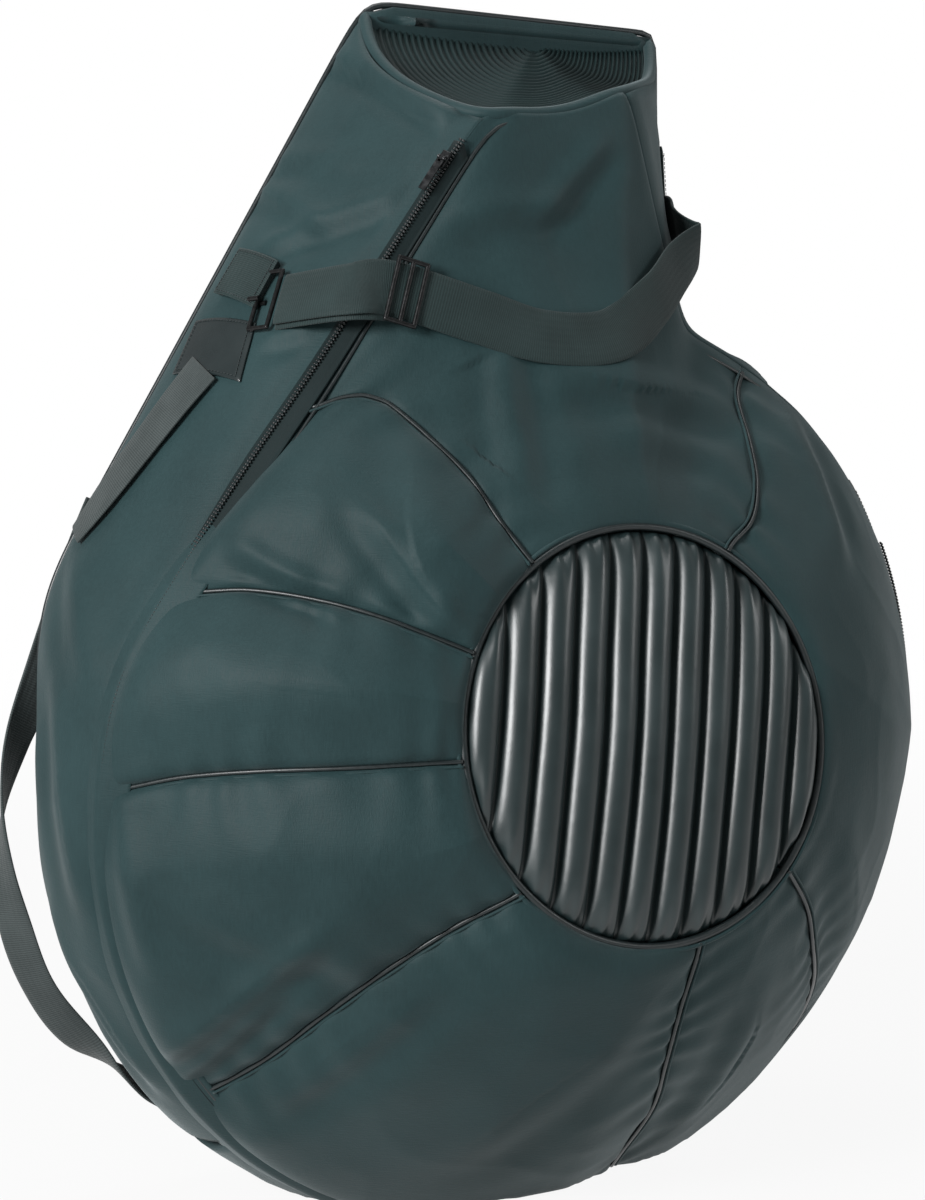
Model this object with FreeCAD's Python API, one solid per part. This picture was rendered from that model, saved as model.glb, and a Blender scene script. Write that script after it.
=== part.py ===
import FreeCAD, Part
import math
import os

# Sousaphone gig bag, in millimetres. X is right, the front looks along -Y and Z is up.
# The origin is on the floor under the middle of the round body, on the plane of the back.

Vec = FreeCAD.Vector

# Round body: radius of its outline at the back and at the front seam, and its middle height
back_radius = 418.0
front_radius = 435.0
body_middle = 395.0
bottom_depth = 150.0
seam_slope_share = 0.045
gusset_swell = 20.0
wall = 9.0

# Neck: ends of its sides, as (x, z), at the back and at the front seam
back_left_top = (-82.0, 1103.0)
back_left_low = (-387.0, 623.0)
back_right_top = (243.0, 1069.0)
back_right_low = (244.0, 900.0)
front_left_top = (-64.0, 1016.0)
front_left_low = (-340.0, 640.0)
front_right_top = (89.0, 1030.0)
front_right_low = (128.0, 900.0)
corner_share = 60.0
shoulder_share = 40.0
least_share = 0.01
neck_core = (40.0, 880.0)
flank_angle = 150.0
angle_step = 0.004
seam_past = 16.0

# Bumper pad on the dome
pad_radius = 178.0
pad_height = 468.0
pad_front = 378.0
pad_tilt = 13.0
pad_back = 14.0
loft_shares = (0.0, 0.33, 0.66, 1.0)
edge_share = 0.1
reach_share = 2
halving_steps = 30
pad_crown = 12.0
channel_count = 11
channel_depth = 9.0
channel_lean = 10.0
ring_radius = 4.5
dome_swell = 40.0
neck_sink = 30.0

# Seams of the dome, as angles from +X round the middle of the pad, and the panels between them
seam_angles = (127.5, 155.0, 183.5, 222.5, 283.5, 312.0, 416.0)
panel_names = ("gore_upper_left", "gore_left", "gore_lower_left", "gore_bottom",
               "gore_lower_right", "gore_right", "neck_front")
bottom_left_angle = 226.0
bottom_right_angle = 314.0

# Zip and trim
zip_start_angle = 98.0
zip_end_angle = 385.0
tape_width = 15.0
tape_thick = 1.2
chain_width = 3.5
chain_height = 2.4
groove_depth = 4.4
piping_size = 6.0
rim_width = 12.0
rim_height = 7.0
welt_width = 7.0
welt_height = 4.0
slider_size = (9.0, 17.0, 5.0)
slider_down = 62.0
pull_size = (7.0, 34.0, 1.6)
pin_radius = 1.2
pin_height = 2.2

# Webbing and wire
strap_width = 50.0
strap_thick = 2.4
side_width = 38.0
wire_radius = 2.2
frame_length = 57.0
frame_width = 27.0
ring_width = 22.0
patch_thick = 1.6
tab_thick = 3.0
fold_thick = 14.0
hook_length = 7.0
eye_gap = 0.5
stem_length = 5.6
layer_gap = 1.0
corner_rise_share = 0.68

# Shoulder strap: (x, z, distance off the front) of its middle, and its tail on the right side
# as (angle, share of the depth, distance off the gusset)
strap_route = ((-160.0, 852.0, 24.0), (-92.0, 829.0, 14.0), (-34.0, 809.0, 11.0),
               (34.0, 806.0, 12.0), (88.0, 834.0, 15.0), (130.0, 861.0, 16.0))
strap_end = (174.0, 880.0)
end_turn_share = 0.5
end_past = 4.0
tail_route = ((61.5, 0.8, 12.0), (62.0, 0.6, 8.0), (62.4, 0.42, 5.0), (62.6, 0.3, 1.9),
              (62.6, 0.18, 1.9))
ring_angle = 117.5
ring_share = 0.66
cross_angle = 112.5
cross_lift = 32.0

# Side strap: (angle, share of the depth) on the left gusset, then its free loop as points
# and the ways that its face looks, first and last
side_route = ((127.5, 0.42), (131.5, 0.37), (137.0, 0.32), (143.5, 0.26), (149.0, 0.19))
loop_route = ((-350.0, 1.6, 652.0), (-366.0, 2.0, 618.0), (-388.0, 5.0, 562.0),
              (-411.0, 7.0, 500.0), (-441.0, 2.0, 440.0), (-459.0, -7.0, 388.0),
              (-462.0, -12.0, 330.0), (-453.0, -14.0, 270.0), (-433.0, -17.0, 212.0),
              (-397.0, -20.0, 160.0))
loop_end = ((220.0, 0.2, 11.0), (223.6, 0.2, 4.6), (226.0, 0.2, 4.6))
twist_from = 3
twist_steps = 4
loop_first_way = 90.0
loop_last_way = 210.0

# Carry handle
handle_width = 30.0
handle_end_width = 9.0
handle_angles = (18.2, 0.7)
handle_share = 0.58
handle_back_share = 0.22
handle_bow_power = 0.7
handle_steps = 8
handle_lift = 9.0
pin_stand_off = 4.6
pin_reach = 17.6
tab_length = 13.0
tab_height = 12.4
flap_angles = (0.8, 1.6, 2.6, 3.6)

# Patches and tabs, as (y from, y to, z from, z to)
left_patch_span = (-118.0, -34.0, 766.0, 828.0)
left_tab_span = (-94.6, -60.0, 832.0, 861.0)
low_anchor_span = (-62.0, -12.0, 64.0, 112.0)
tail_anchor_span = (-60.0, -20.0, 842.0, 902.0)
right_patch_span = (-149.0, -88.0, 366.0, 612.0)

# Clearances: lid to shell, body to body, and how far tools run past what they cut
lid_gap = 0.4
lid_lift = 0.4
body_gap = 0.3
overrun = 60.0
reach = 1600.0
least_volume = 1.0


def seam_y(z):
    """Depth of the front seam plane at a height."""
    return -(bottom_depth + seam_slope_share * z)


def line_gap(start, end):
    """Distance and direction from the middle of the body to the line through two points."""
    dx = end[0] - start[0]
    dz = end[1] - start[1]
    long = math.hypot(dx, dz)
    normal = (dz / long, -dx / long)
    gap = normal[0] * start[0] + normal[1] * (start[1] - body_middle)
    if gap < 0:
        normal = (-normal[0], -normal[1])
        gap = -gap
    return gap, math.atan2(normal[1], normal[0])


def line_radius(angle, side, inset):
    """Distance from the middle to a side's line along an angle, or far where it isn't met."""
    gap, foot = line_gap(*side)
    cosine = math.cos(angle - foot)
    return (gap - inset) / cosine if cosine > gap / reach else reach


def least(values, sharp):
    """Smallest of some lengths, rounded where two of them are alike."""
    low = min(values)
    return low * sum((v / low) ** -sharp for v in values) ** (-1 / sharp)


def outline_radius(angle, radius, left, right, top, inset):
    """Radius of the outline: the round body joined to the straight-sided neck."""
    radius -= inset
    gap, foot = line_gap(*left)
    beyond = math.sin(angle - foot) > 0
    falloff = max(math.cos(angle - foot), least_share)
    near_left = (gap - inset) * falloff if beyond else line_radius(angle, left, inset)
    upper = math.sin(angle) > 0
    near_top = line_radius(angle, top, inset) if upper else gap / reach
    near_right = line_radius(angle, right, inset)
    neck = least((near_left, near_top, near_right), corner_share) if upper else least_share
    joined = radius * (1 + (neck / radius) ** shoulder_share) ** (1 / shoulder_share)
    return least((joined, line_radius(angle, left, inset)), corner_share)


def back_reach(angle, inset=0.0):
    left = (back_left_low, back_left_top)
    right = (back_right_low, back_right_top)
    top = (back_left_top, back_right_top)
    return outline_radius(angle, back_radius, left, right, top, inset)


def front_reach(angle, inset=0.0):
    left = (front_left_low, front_left_top)
    right = (front_right_low, front_right_top)
    top = (front_left_top, front_right_top)
    return outline_radius(angle, front_radius, left, right, top, inset)


def polar(angle, radius, height=body_middle):
    return radius * math.cos(angle), height + radius * math.sin(angle)


def outline_keys(radius, left_top, right_low, right_top):
    """Angles where an outline changes: bottom, right shoulder, two corners, flank, bottom."""
    gap, foot = line_gap(right_low, right_top)
    shoulder = foot + math.acos(min(1.0, gap / radius))
    corners = [math.atan2(p[1] - body_middle, p[0]) for p in (right_top, left_top)]
    flank = math.radians(flank_angle)
    return [-math.pi / 2, shoulder] + corners + [flank, 3 * math.pi / 2]


back_keys = outline_keys(back_radius, back_left_top, back_right_low, back_right_top)
front_keys = outline_keys(front_radius, front_left_top, front_right_low, front_right_top)
key_steps = (12, 6, 8, 9, 7)


def stations(keys):
    """Angles of an outline's points, so many between one key and the next."""
    angles = []
    for start, end, steps in zip(keys, keys[1:], key_steps):
        angles += [start + (end - start) * i / steps for i in range(steps)]
    return angles


def matched(angle):
    """Angle on the front outline that goes with one on the back outline."""
    while angle > back_keys[-1]:
        angle -= 2 * math.pi
    for i, end in enumerate(back_keys[1:]):
        if angle <= end:
            share = (angle - back_keys[i]) / (end - back_keys[i])
            return front_keys[i] + (front_keys[i + 1] - front_keys[i]) * share
    return angle


def outline_point(angle, reach_at, outset):
    """Point (x, z) of an outline, moved out along its normal."""
    x, z = polar(angle, reach_at(angle))
    if outset:
        low = polar(angle - angle_step, reach_at(angle - angle_step))
        high = polar(angle + angle_step, reach_at(angle + angle_step))
        along = Vec(high[0] - low[0], 0, high[1] - low[1]).normalize()
        x += along.z * outset
        z -= along.x * outset
    return x, z


def back_point(angle, outset=0.0):
    x, z = outline_point(angle, back_reach, outset)
    return Vec(x, 0, z)


def front_point(angle, outset=0.0):
    x, z = outline_point(angle, front_reach, outset)
    return Vec(x, seam_y(z), z)


def gusset_point(angle, share, outset=0.0):
    """Point of the gusset's surface, from the back (0) to the front seam (1)."""
    low = back_point(angle, outset)
    high = front_point(matched(angle), outset)
    swell = 4 * share * (1 - share) * gusset_swell
    return low + (high - low) * share + Vec(math.cos(angle), 0, math.sin(angle)) * swell


def ring_point(angle, radius):
    """Point on a ring round the bumper pad, which is tilted up."""
    tilt = math.radians(pad_tilt)
    rise = radius * math.sin(angle)
    return Vec(radius * math.cos(angle), -pad_front + rise * math.sin(tilt),
               pad_height + rise * math.cos(tilt))


def dome_point(angle, share, outset=0.0):
    """Point of the dome's surface, from the front seam (0) to the pad's ring (1)."""
    low = front_point(angle, outset)
    high = ring_point(angle, pad_radius + 2 * ring_radius + outset)
    up = max(0.0, math.sin(angle)) ** 6
    swell = dome_swell * (1 - up) - neck_sink * up
    return low + (high - low) * share - Vec(0, swell * math.sin(math.pi * share), 0)


def closed(points):
    curve = Part.BSplineCurve()
    curve.interpolate(Points=points, PeriodicFlag=True)
    return Part.Wire([curve.toShape()])


def gusset_solid(outset, past=0.0):
    """Solid inside the gusset's surface, run past the back and the seam plane."""
    rings = [[gusset_point(a, share, outset) for a in stations(back_keys)]
             for share in (0.0, 0.5, 1.0)]
    if past:
        rings.insert(0, [p + Vec(0, past, 0) for p in rings[0]])
        rings.append([p - Vec(0, past, 0) for p in rings[-1]])
    return Part.makeLoft([closed(points) for points in rings], True, False)


def dome_solid(outset, back=0.0):
    """Solid inside the dome's surface, run a little past the seam plane."""
    angles = stations(front_keys)
    rings = [[front_point(a, outset + seam_past / 2) + Vec(0, seam_past, 0) for a in angles]]
    for share in loft_shares:
        rings.append([dome_point(a, share, outset) for a in angles])
    moved = [closed([p + Vec(0, back, 0) for p in points]) for points in rings]
    return Part.makeLoft(moved, True, False)


def prism(points):
    """Prism along Y, deep enough for the whole bag, from (x, z) points."""
    corners = [Vec(x, overrun, z) for x, z in points]
    return Part.Face(Part.makePolygon(corners + corners[:1])).extrude(Vec(0, -reach, 0))


def wedge(from_angle, to_angle, height=body_middle):
    """Prism that holds what lies between two angles, in degrees, round a point."""
    step_limit = 30.0
    steps = math.ceil((to_angle - from_angle) / step_limit)
    points = [(0.0, height)]
    for i in range(steps + 1):
        angle = math.radians(from_angle + (to_angle - from_angle) * i / steps)
        points.append(polar(angle, reach, height))
    return prism(points)


def outline_prism(inset):
    """Prism inside the front seam's outline, drawn in by a distance."""
    flat = [polar(a, front_reach(a, inset)) for a in stations(front_keys)]
    face = Part.Face(closed([Vec(x, overrun, z) for x, z in flat]))
    return face.extrude(Vec(0, -reach, 0))


def seam_slab(y_from, y_to):
    """Block between two distances from the seam plane, measured along +Y."""
    block = Part.makeBox(2 * reach, y_to - y_from, 2 * reach, Vec(-reach, y_from, -reach))
    block.rotate(Vec(0, 0, 0), Vec(1, 0, 0), math.degrees(math.atan(seam_slope_share)))
    block.translate(Vec(0, -bottom_depth, 0))
    return block


def above(shape, height, upper=True):
    """Part of a shape above a height, or the part below it."""
    low = height if upper else height - reach
    return shape.common(Part.makeBox(2 * reach, 2 * reach, reach, Vec(-reach, -reach, low)))


def floored(solid, thick):
    """Solid cut flat at the floor, with the zip's groove less a layer's thickness."""
    flat = above(solid, 0.0)
    half = tape_width + body_gap
    return flat.cut(above(seam_slab(-half, half), groove_depth - thick, False))


def cap_block():
    """Block over the neck's top, between the corners at the back and at the front seam."""
    rings = []
    for y, corners in ((0.0, (back_left_top, back_right_top)),
                       (seam_y(front_left_top[1]), (front_left_top, front_right_top))):
        ends = [Vec(neck_core[0], y, neck_core[1])]
        for corner in corners:
            out = Vec(corner[0], y, corner[1]) - ends[0]
            ends.append(ends[0] + out * reach_share)
        rings.append(ends)
    past_share = 0.15
    lofted = []
    for share in (-past_share, 1.0 + past_share):
        points = [low + (high - low) * share for low, high in zip(*rings)]
        lofted.append(Part.makePolygon(points + points[:1]))
    return Part.makeLoft(lofted, True, True)


def save(name, shape):
    solids = [s for s in shape.Solids if s.Volume > least_volume]
    whole = solids[0] if len(solids) == 1 else Part.makeCompound(solids)
    whole.exportStep(f"parts/{name}.step")
    box = whole.BoundBox
    print(f"{name}: {len(solids)} solids, valid {whole.isValid()}, {whole.Volume / 1000:.0f} cm3,",
          f"x {box.XMin:.0f} {box.XMax:.0f} y {box.YMin:.0f} {box.YMax:.0f}",
          f"z {box.ZMin:.1f} {box.ZMax:.0f}")
    return whole


def make_shell(block):
    """Back panel, gussets and the cap of the neck, with its rim and the back piping."""
    outer = floored(gusset_solid(0.0), 0.0)
    inner = above(gusset_solid(-wall, overrun), wall + groove_depth)
    behind = Part.makeBox(2 * reach, wall, 2 * reach, Vec(-reach, -wall, -reach))
    ring = outer.cut(inner).cut(behind)
    save("back_panel", outer.common(behind))
    save("top_cap", ring.common(block))
    sides = ring.cut(block)
    save("gusset_left", sides.common(wedge(90.0, bottom_left_angle)))
    save("gusset_bottom", sides.common(wedge(bottom_left_angle, bottom_right_angle)))
    save("gusset_right", sides.common(wedge(bottom_right_angle, 360.0 + 90.0)))
    proud = above(gusset_solid(rim_height), 0.0)
    save("rim_piping", proud.cut(outer).common(block).cut(cap_window()))
    edge = above(gusset_solid(piping_size), 0.0).cut(outer).common(behind)
    save("back_piping", edge.cut(block))
    zip_run = seam_slab(0.0, tape_width).common(wedge(zip_start_angle, zip_end_angle).cut(block))
    under = floored(gusset_solid(tape_thick), tape_thick).common(zip_run)
    save("zip_tape_shell", under.cut(outer))
    height = tape_thick + chain_height
    chain = floored(gusset_solid(height), height).common(zip_run)
    chain = chain.common(seam_slab(0.0, chain_width)).cut(outer)
    save("zip_chain_shell", chain.cut(floored(gusset_solid(tape_thick), tape_thick)))
    return outer


def cap_window():
    """Opening of the rim: the cap's block drawn in by the rim's width."""
    rings = []
    for y, corners in ((-wall - rim_width, (back_left_top, back_right_top)),
                       (seam_y(front_left_top[1]) + rim_width, (front_left_top, front_right_top))):
        core = Vec(neck_core[0], y, neck_core[1])
        ends = [core]
        for corner, side in zip(corners, (1, -1)):
            out = Vec(corner[0] + side * rim_width, y, corner[1]) - core
            ends.append(core + out * reach_share)
        rings.append(Part.makePolygon(ends + ends[:1]))
    return Part.makeLoft(rings, True, True)


def pad_place():
    """Placement of the pad's own axes: X across, Y up the slope, Z out of the bag."""
    tilt = math.radians(pad_tilt)
    up = Vec(0, math.sin(tilt), math.cos(tilt))
    out = Vec(0, -math.cos(tilt), math.sin(tilt))
    turn = FreeCAD.Rotation(Vec(1, 0, 0), up, out, "ZXY")
    return FreeCAD.Placement(Vec(0, -pad_front, pad_height), turn)


def pad_disc(radius, low, high):
    disc = Part.makeCylinder(radius, high - low, Vec(0, 0, low))
    disc.Placement = pad_place()
    return disc


def make_pad():
    """Crowned pad with sewn channels: a scalloped profile turned about a far axis."""
    ball = (pad_radius ** 2 + pad_crown ** 2) / (2 * pad_crown)
    middle = pad_crown - ball
    pitch = 2 * pad_radius / channel_count
    count = channel_count + 2
    first = -pitch * count / 2

    def crown(x):
        return middle + math.sqrt(ball ** 2 - x ** 2)

    edges = []
    valleys = []
    for i in range(count + 1):
        x = first + i * pitch
        valleys.append(Vec(x, 0, crown(x) - channel_depth))
    for low, high in zip(valleys, valleys[1:]):
        x = (low.x + high.x) / 2
        edges.append(Part.Arc(low, Vec(x, 0, crown(x)), high).toShape())
    floor = -pad_back - overrun
    corners = [valleys[-1], Vec(-first, 0, floor), Vec(first, 0, floor), valleys[0]]
    edges += Part.makePolygon(corners).Edges
    face = Part.Face(Part.Wire(edges))
    sweep = 2 * math.degrees(math.asin((pad_radius + overrun) / ball))
    face.rotate(Vec(0, 0, middle), Vec(1, 0, 0), -sweep / 2)
    tubes = face.revolve(Vec(0, 0, middle), Vec(1, 0, 0), sweep)
    tubes.rotate(Vec(0, 0, 0), Vec(0, 0, 1), -channel_lean)
    disc = Part.makeCylinder(pad_radius - body_gap, pad_back + 2 * pad_crown, Vec(0, 0, -pad_back))
    pad = tubes.common(disc)
    pad.Placement = pad_place()
    save("bumper_pad", pad)
    ring = Part.makeTorus(pad_radius + ring_radius, ring_radius)
    ring.Placement = pad_place()
    save("pad_piping", ring)


def make_lid():
    """The dome: seven sewn panels that meet at radial seams, with their welts and edge."""
    outer = floored(dome_solid(0.0), 0.0)
    inner = above(dome_solid(-wall, wall), wall + groove_depth)
    hole = pad_disc(pad_radius + 2 * ring_radius + body_gap, -2 * overrun, overrun)
    keep = seam_slab(-reach, -lid_gap)
    shell = above(outer, lid_lift).cut(inner).common(keep).cut(hole)
    ends = list(seam_angles) + [360.0 + seam_angles[0]]
    for name, start, end in zip(panel_names, ends, ends[1:]):
        save(name, shell.common(wedge(start, end, pad_height)))
    layer = above(dome_solid(welt_height, -welt_height), lid_lift).cut(outer).cut(hole)
    edge_from = -tape_width - body_gap
    within = seam_slab(-reach, edge_from - piping_size - body_gap)
    welts = []
    for angle in seam_angles:
        bar = Part.makeBox(reach, reach, welt_width, Vec(0, -reach, -welt_width / 2))
        bar.rotate(Vec(0, 0, 0), Vec(0, 1, 0), -angle)
        bar.translate(Vec(0, 0, pad_height))
        welts.append(layer.common(bar).common(within))
    save("gore_piping", Part.makeCompound(welts))
    band = above(dome_solid(welt_height, -welt_height), lid_lift)
    band = band.common(seam_slab(edge_from - piping_size, edge_from))
    edges = [band.common(wedge(start, end, pad_height)).cut(outer)
             for start, end in zip(ends, ends[1:])]
    save("seam_piping", Part.makeCompound(edges))
    run = wedge(zip_start_angle, zip_end_angle)
    zip_run = seam_slab(-tape_width, -lid_gap).common(run)
    under = floored(dome_solid(tape_thick, -tape_thick), tape_thick)
    save("zip_tape_lid", under.common(zip_run).cut(outer))
    height = tape_thick + chain_height
    chain = floored(dome_solid(height, -height), height).common(run)
    chain = chain.common(seam_slab(-chain_width, -lid_gap)).cut(outer)
    save("zip_chain_lid", chain.cut(under))


def front_surface(x, z):
    """Point of the dome's surface straight in front of (x, z)."""
    low, high = 0.0, 1.0
    for _ in range(halving_steps):
        share = (low + high) / 2
        middle = body_middle + (pad_height - body_middle) * share
        angle = math.atan2(z - middle, x)
        point = dome_point(angle, share)
        if math.hypot(point.x, point.z - middle) > math.hypot(x, z - middle):
            low = share
        else:
            high = share
    return Vec(x, min(point.y, seam_y(z)), z)


def front_out(x, z):
    """Way that the dome's surface looks in front of (x, z)."""
    across = front_surface(x + wire_radius, z) - front_surface(x - wire_radius, z)
    up = front_surface(x, z + wire_radius) - front_surface(x, z - wire_radius)
    return across.cross(up).normalize()


def ribbon(points, outs, widths, thick):
    """Webbing: a flat strip through points, each with the way its broad face looks."""
    sections = []
    for i, (point, out, width) in enumerate(zip(points, outs, widths)):
        along = points[min(i + 1, len(points) - 1)] - points[max(i - 1, 0)]
        side = along.cross(out).normalize() * (width / 2)
        rise = side.cross(along).normalize() * (thick / 2)
        corners = [point + side + rise, point + side - rise,
                   point - side - rise, point - side + rise]
        sections.append(Part.makePolygon(corners + corners[:1]))
    return Part.makeLoft(sections, True, True)


def wire_path(points, radius):
    """Bent wire: round bars between points with round corners."""
    bars = []
    for start, end in zip(points, points[1:]):
        bars.append(Part.makeCylinder(radius, (end - start).Length, start, end - start))
    bars += [Part.makeSphere(radius, p) for p in points[1:-1]]
    return bars[0].fuse(bars[1:])


def wire_frame(middle, across, along, length, width, center_bar):
    """Rectangle of wire, with a bar across its middle where asked."""
    a = across * (length / 2)
    b = along * (width / 2)
    corners = [middle + a + b, middle + a - b, middle - a - b, middle - a + b]
    frame = wire_path(corners + corners[:2], wire_radius)
    if center_bar:
        bar = Part.makeCylinder(wire_radius, length, middle - a, across)
        frame = frame.fuse(bar)
    return frame


def corner_normal(angle):
    """Way that the bag's front edge looks, between its side and its front."""
    edge = front_point(angle)
    side = front_point(angle, overrun) - edge
    front = (dome_point(angle, edge_share) - edge).normalize()
    along = front_point(angle + angle_step) - edge
    face = along.cross(front).normalize()
    return (side.normalize() + face).normalize()


def strap_points():
    """Shoulder strap's front stretch: its points and the ways its face looks."""
    ring = gusset_point(math.radians(ring_angle), ring_share, fold_thick - wire_radius)
    cross = math.radians(cross_angle)
    points = [ring, front_point(cross) + corner_normal(cross) * cross_lift]
    outs = [gusset_out(math.radians(ring_angle), ring_share), corner_normal(cross)]
    for x, z, off in strap_route:
        outs.append(front_out(x, z))
        points.append(front_surface(x, z) + outs[-1] * off)
    along = (points[3] - points[2]).normalize()
    flat = outs[2] + outs[3]
    outs[2] = outs[3] = (flat - along * flat.dot(along)).normalize()
    points.append(Vec(strap_end[0], seam_y(strap_end[1]) + end_past, strap_end[1]))
    outs.append(Vec(1, -end_turn_share, 0).normalize())
    return points, outs


def make_shoulder_strap(shell):
    """Shoulder strap with its ring, its return layer, its adjuster and its tail."""
    points, outs = strap_points()
    along = (points[1] - points[0]).normalize()
    start = points[0] + along * (wire_radius * 2 + body_gap)
    widths = [strap_width] * len(points)
    strap = ribbon([start] + points[1:], outs, widths, strap_thick)
    save("shoulder_strap", strap.common(seam_slab(-reach, -lid_gap)))
    drop = Vec(0, 0, -strap_thick - layer_gap)
    under = [p - o * (strap_thick + layer_gap) + drop for p, o in zip(points[:3], outs)]
    under[0] += (under[1] - under[0]).normalize() * (wire_radius * 2 + body_gap)
    save("strap_return", ribbon(under, outs[:3], widths, strap_thick))
    across = outs[0].cross(along).normalize()
    middle = points[0] - along * (ring_width / 2 - wire_radius)
    save("strap_ring", wire_frame(middle, across, along, frame_length, ring_width, False))
    run = (points[3] - points[2]).normalize()
    lift = strap_thick / 2 + wire_radius + body_gap
    front = points[2] + run * (frame_width / 2) + outs[2] * lift
    across = outs[2].cross(run).normalize()
    save("strap_adjuster", wire_frame(front, across, run, frame_length, frame_width, True))
    print("adjuster run", run, "length", (points[3] - points[2]).Length)
    make_hook(middle - along * (ring_width / 2), along, outs[0])
    save("left_tab", layer_part(fold_thick, left_tab_span, -1, shell))
    tail = [Vec(strap_end[0], seam_y(strap_end[1]) - end_past, strap_end[1])]
    ways = [Vec(1, -end_turn_share, 0)]
    for angle, share, off in tail_route:
        lift = off + strap_thick / 2 + body_gap
        tail.append(gusset_point(math.radians(angle), share, lift))
        ways.append(gusset_out(math.radians(angle), share))
    save("strap_tail", ribbon(tail, ways, widths, strap_thick).common(seam_slab(0.0, reach)))
    save("tail_anchor", layer_part(tab_thick, tail_anchor_span, 1, shell))


def make_hook(bar, along, way):
    """Open wire hook round the ring's far bar, with its mouth toward the strap."""
    out = (way - along * way.dot(along)).normalize() * (2 * wire_radius + eye_gap)
    ahead = along * hook_length
    back = along * (-2 * wire_radius - eye_gap)
    route = [bar + out + ahead, bar + out + back, bar - out + back, bar - out + ahead]
    stem = Part.makeCylinder(wire_radius, stem_length, bar + back, -along)
    save("strap_hook", wire_path(route, wire_radius).fuse(stem))


def gusset_out(angle, share):
    """Way that the gusset's surface looks."""
    here = gusset_point(angle, share)
    round_it = gusset_point(angle + angle_step, share) - here
    forward = gusset_point(angle, share + angle_step) - here
    return round_it.cross(forward).normalize()


def layer_part(thick, span, side, shell):
    """Part of a layer on the gusset that lies in a span of depth and height."""
    y_from, y_to, z_from, z_to = span
    corner = Vec(0.0 if side > 0 else -reach, y_from, z_from)
    room = Part.makeBox(reach, y_to - y_from, z_to - z_from, corner)
    return gusset_solid(thick).common(room).cut(shell)


def make_side_strap(shell):
    """Side strap on the left: its sewn upper stretch, its free loop and its lower anchor."""
    save("left_patch", layer_part(patch_thick, left_patch_span, -1, shell))
    lift = patch_thick + strap_thick / 2 + body_gap
    angles = [math.radians(a) for a, s in side_route]
    points = [gusset_point(a, s, lift) for a, (_, s) in zip(angles, side_route)]
    outs = [gusset_out(a, s) for a, (_, s) in zip(angles, side_route)]
    widths = [side_width] * len(points)
    save("side_strap_upper", ribbon(points, outs, widths, strap_thick))
    loop = [Vec(*p) for p in loop_route]
    ways = []
    for i in range(len(loop)):
        turned = min(1.0, max(0.0, (i - twist_from) / twist_steps))
        around = math.radians(loop_first_way + (loop_last_way - loop_first_way) * turned)
        ways.append(Vec(math.cos(around), math.sin(around), 0))
    for angle, share, off in loop_end:
        loop.append(gusset_point(math.radians(angle), share, off))
        ways.append(gusset_out(math.radians(angle), share))
    save("side_strap", ribbon(loop, ways, [side_width] * len(loop), strap_thick))
    save("low_anchor", layer_part(tab_thick, low_anchor_span, -1, shell))


def make_handle(shell):
    """Carry handle on the right, with its patch and the two tabs that hold it."""
    save("right_patch", layer_part(patch_thick, right_patch_span, 1, shell))
    high, low = [math.radians(a) for a in handle_angles]
    points = []
    outs = []
    widths = []
    for i in range(handle_steps + 1):
        share = i / handle_steps
        angle = high + (low - high) * share
        bow = math.sin(math.pi * share) ** handle_bow_power
        depth = handle_share + (handle_back_share - handle_share) * bow
        points.append(gusset_point(angle, depth, handle_lift))
        outs.append(gusset_out(angle, depth))
        widths.append(handle_end_width + (handle_width - handle_end_width) * bow)
    axis = (points[0] - points[-1]).normalize()
    grip = ribbon(points, outs, widths, strap_thick)
    tabs = []
    pins = []
    for end, angle, way in ((points[0], high, 1), (points[-1], low, -1)):
        out = gusset_out(angle, handle_share)
        out = (out - axis * out.dot(axis)).normalize()
        start = end + axis * (way * pin_stand_off)
        pins.append(Part.makeCylinder(wire_radius, pin_reach, end - axis * (way * wire_radius),
                                      axis * way))
        block = slab_box(start, axis * way, out, tab_length, handle_width, tab_height)
        flap = [gusset_point(angle + way * math.radians(a), handle_share,
                             patch_thick + strap_thick / 2 + body_gap) for a in flap_angles]
        flaps = ribbon(flap, [gusset_out(angle, handle_share)] * len(flap),
                       [handle_width] * len(flap), strap_thick)
        bore = Part.makeCylinder(wire_radius + body_gap, reach, end - axis * (way * wire_radius),
                                 axis * way)
        tabs.append(block.fuse(flaps).cut(bore))
    save("handle_tabs", Part.makeCompound(tabs))
    save("carry_handle", grip.fuse(pins))
    print("handle axis", axis, "through", points[-1])


def slab_box(start, along, out, length, width, thick):
    """Box that starts at a point and runs along a way, with its broad face looking out."""
    across = along.cross(out).normalize() * (width / 2)
    rise = out * (thick / 2)
    corners = [start + across + rise, start + across - rise,
               start - across - rise, start - across + rise]
    return Part.Face(Part.makePolygon(corners + corners[:1])).extrude(along * length)


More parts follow.
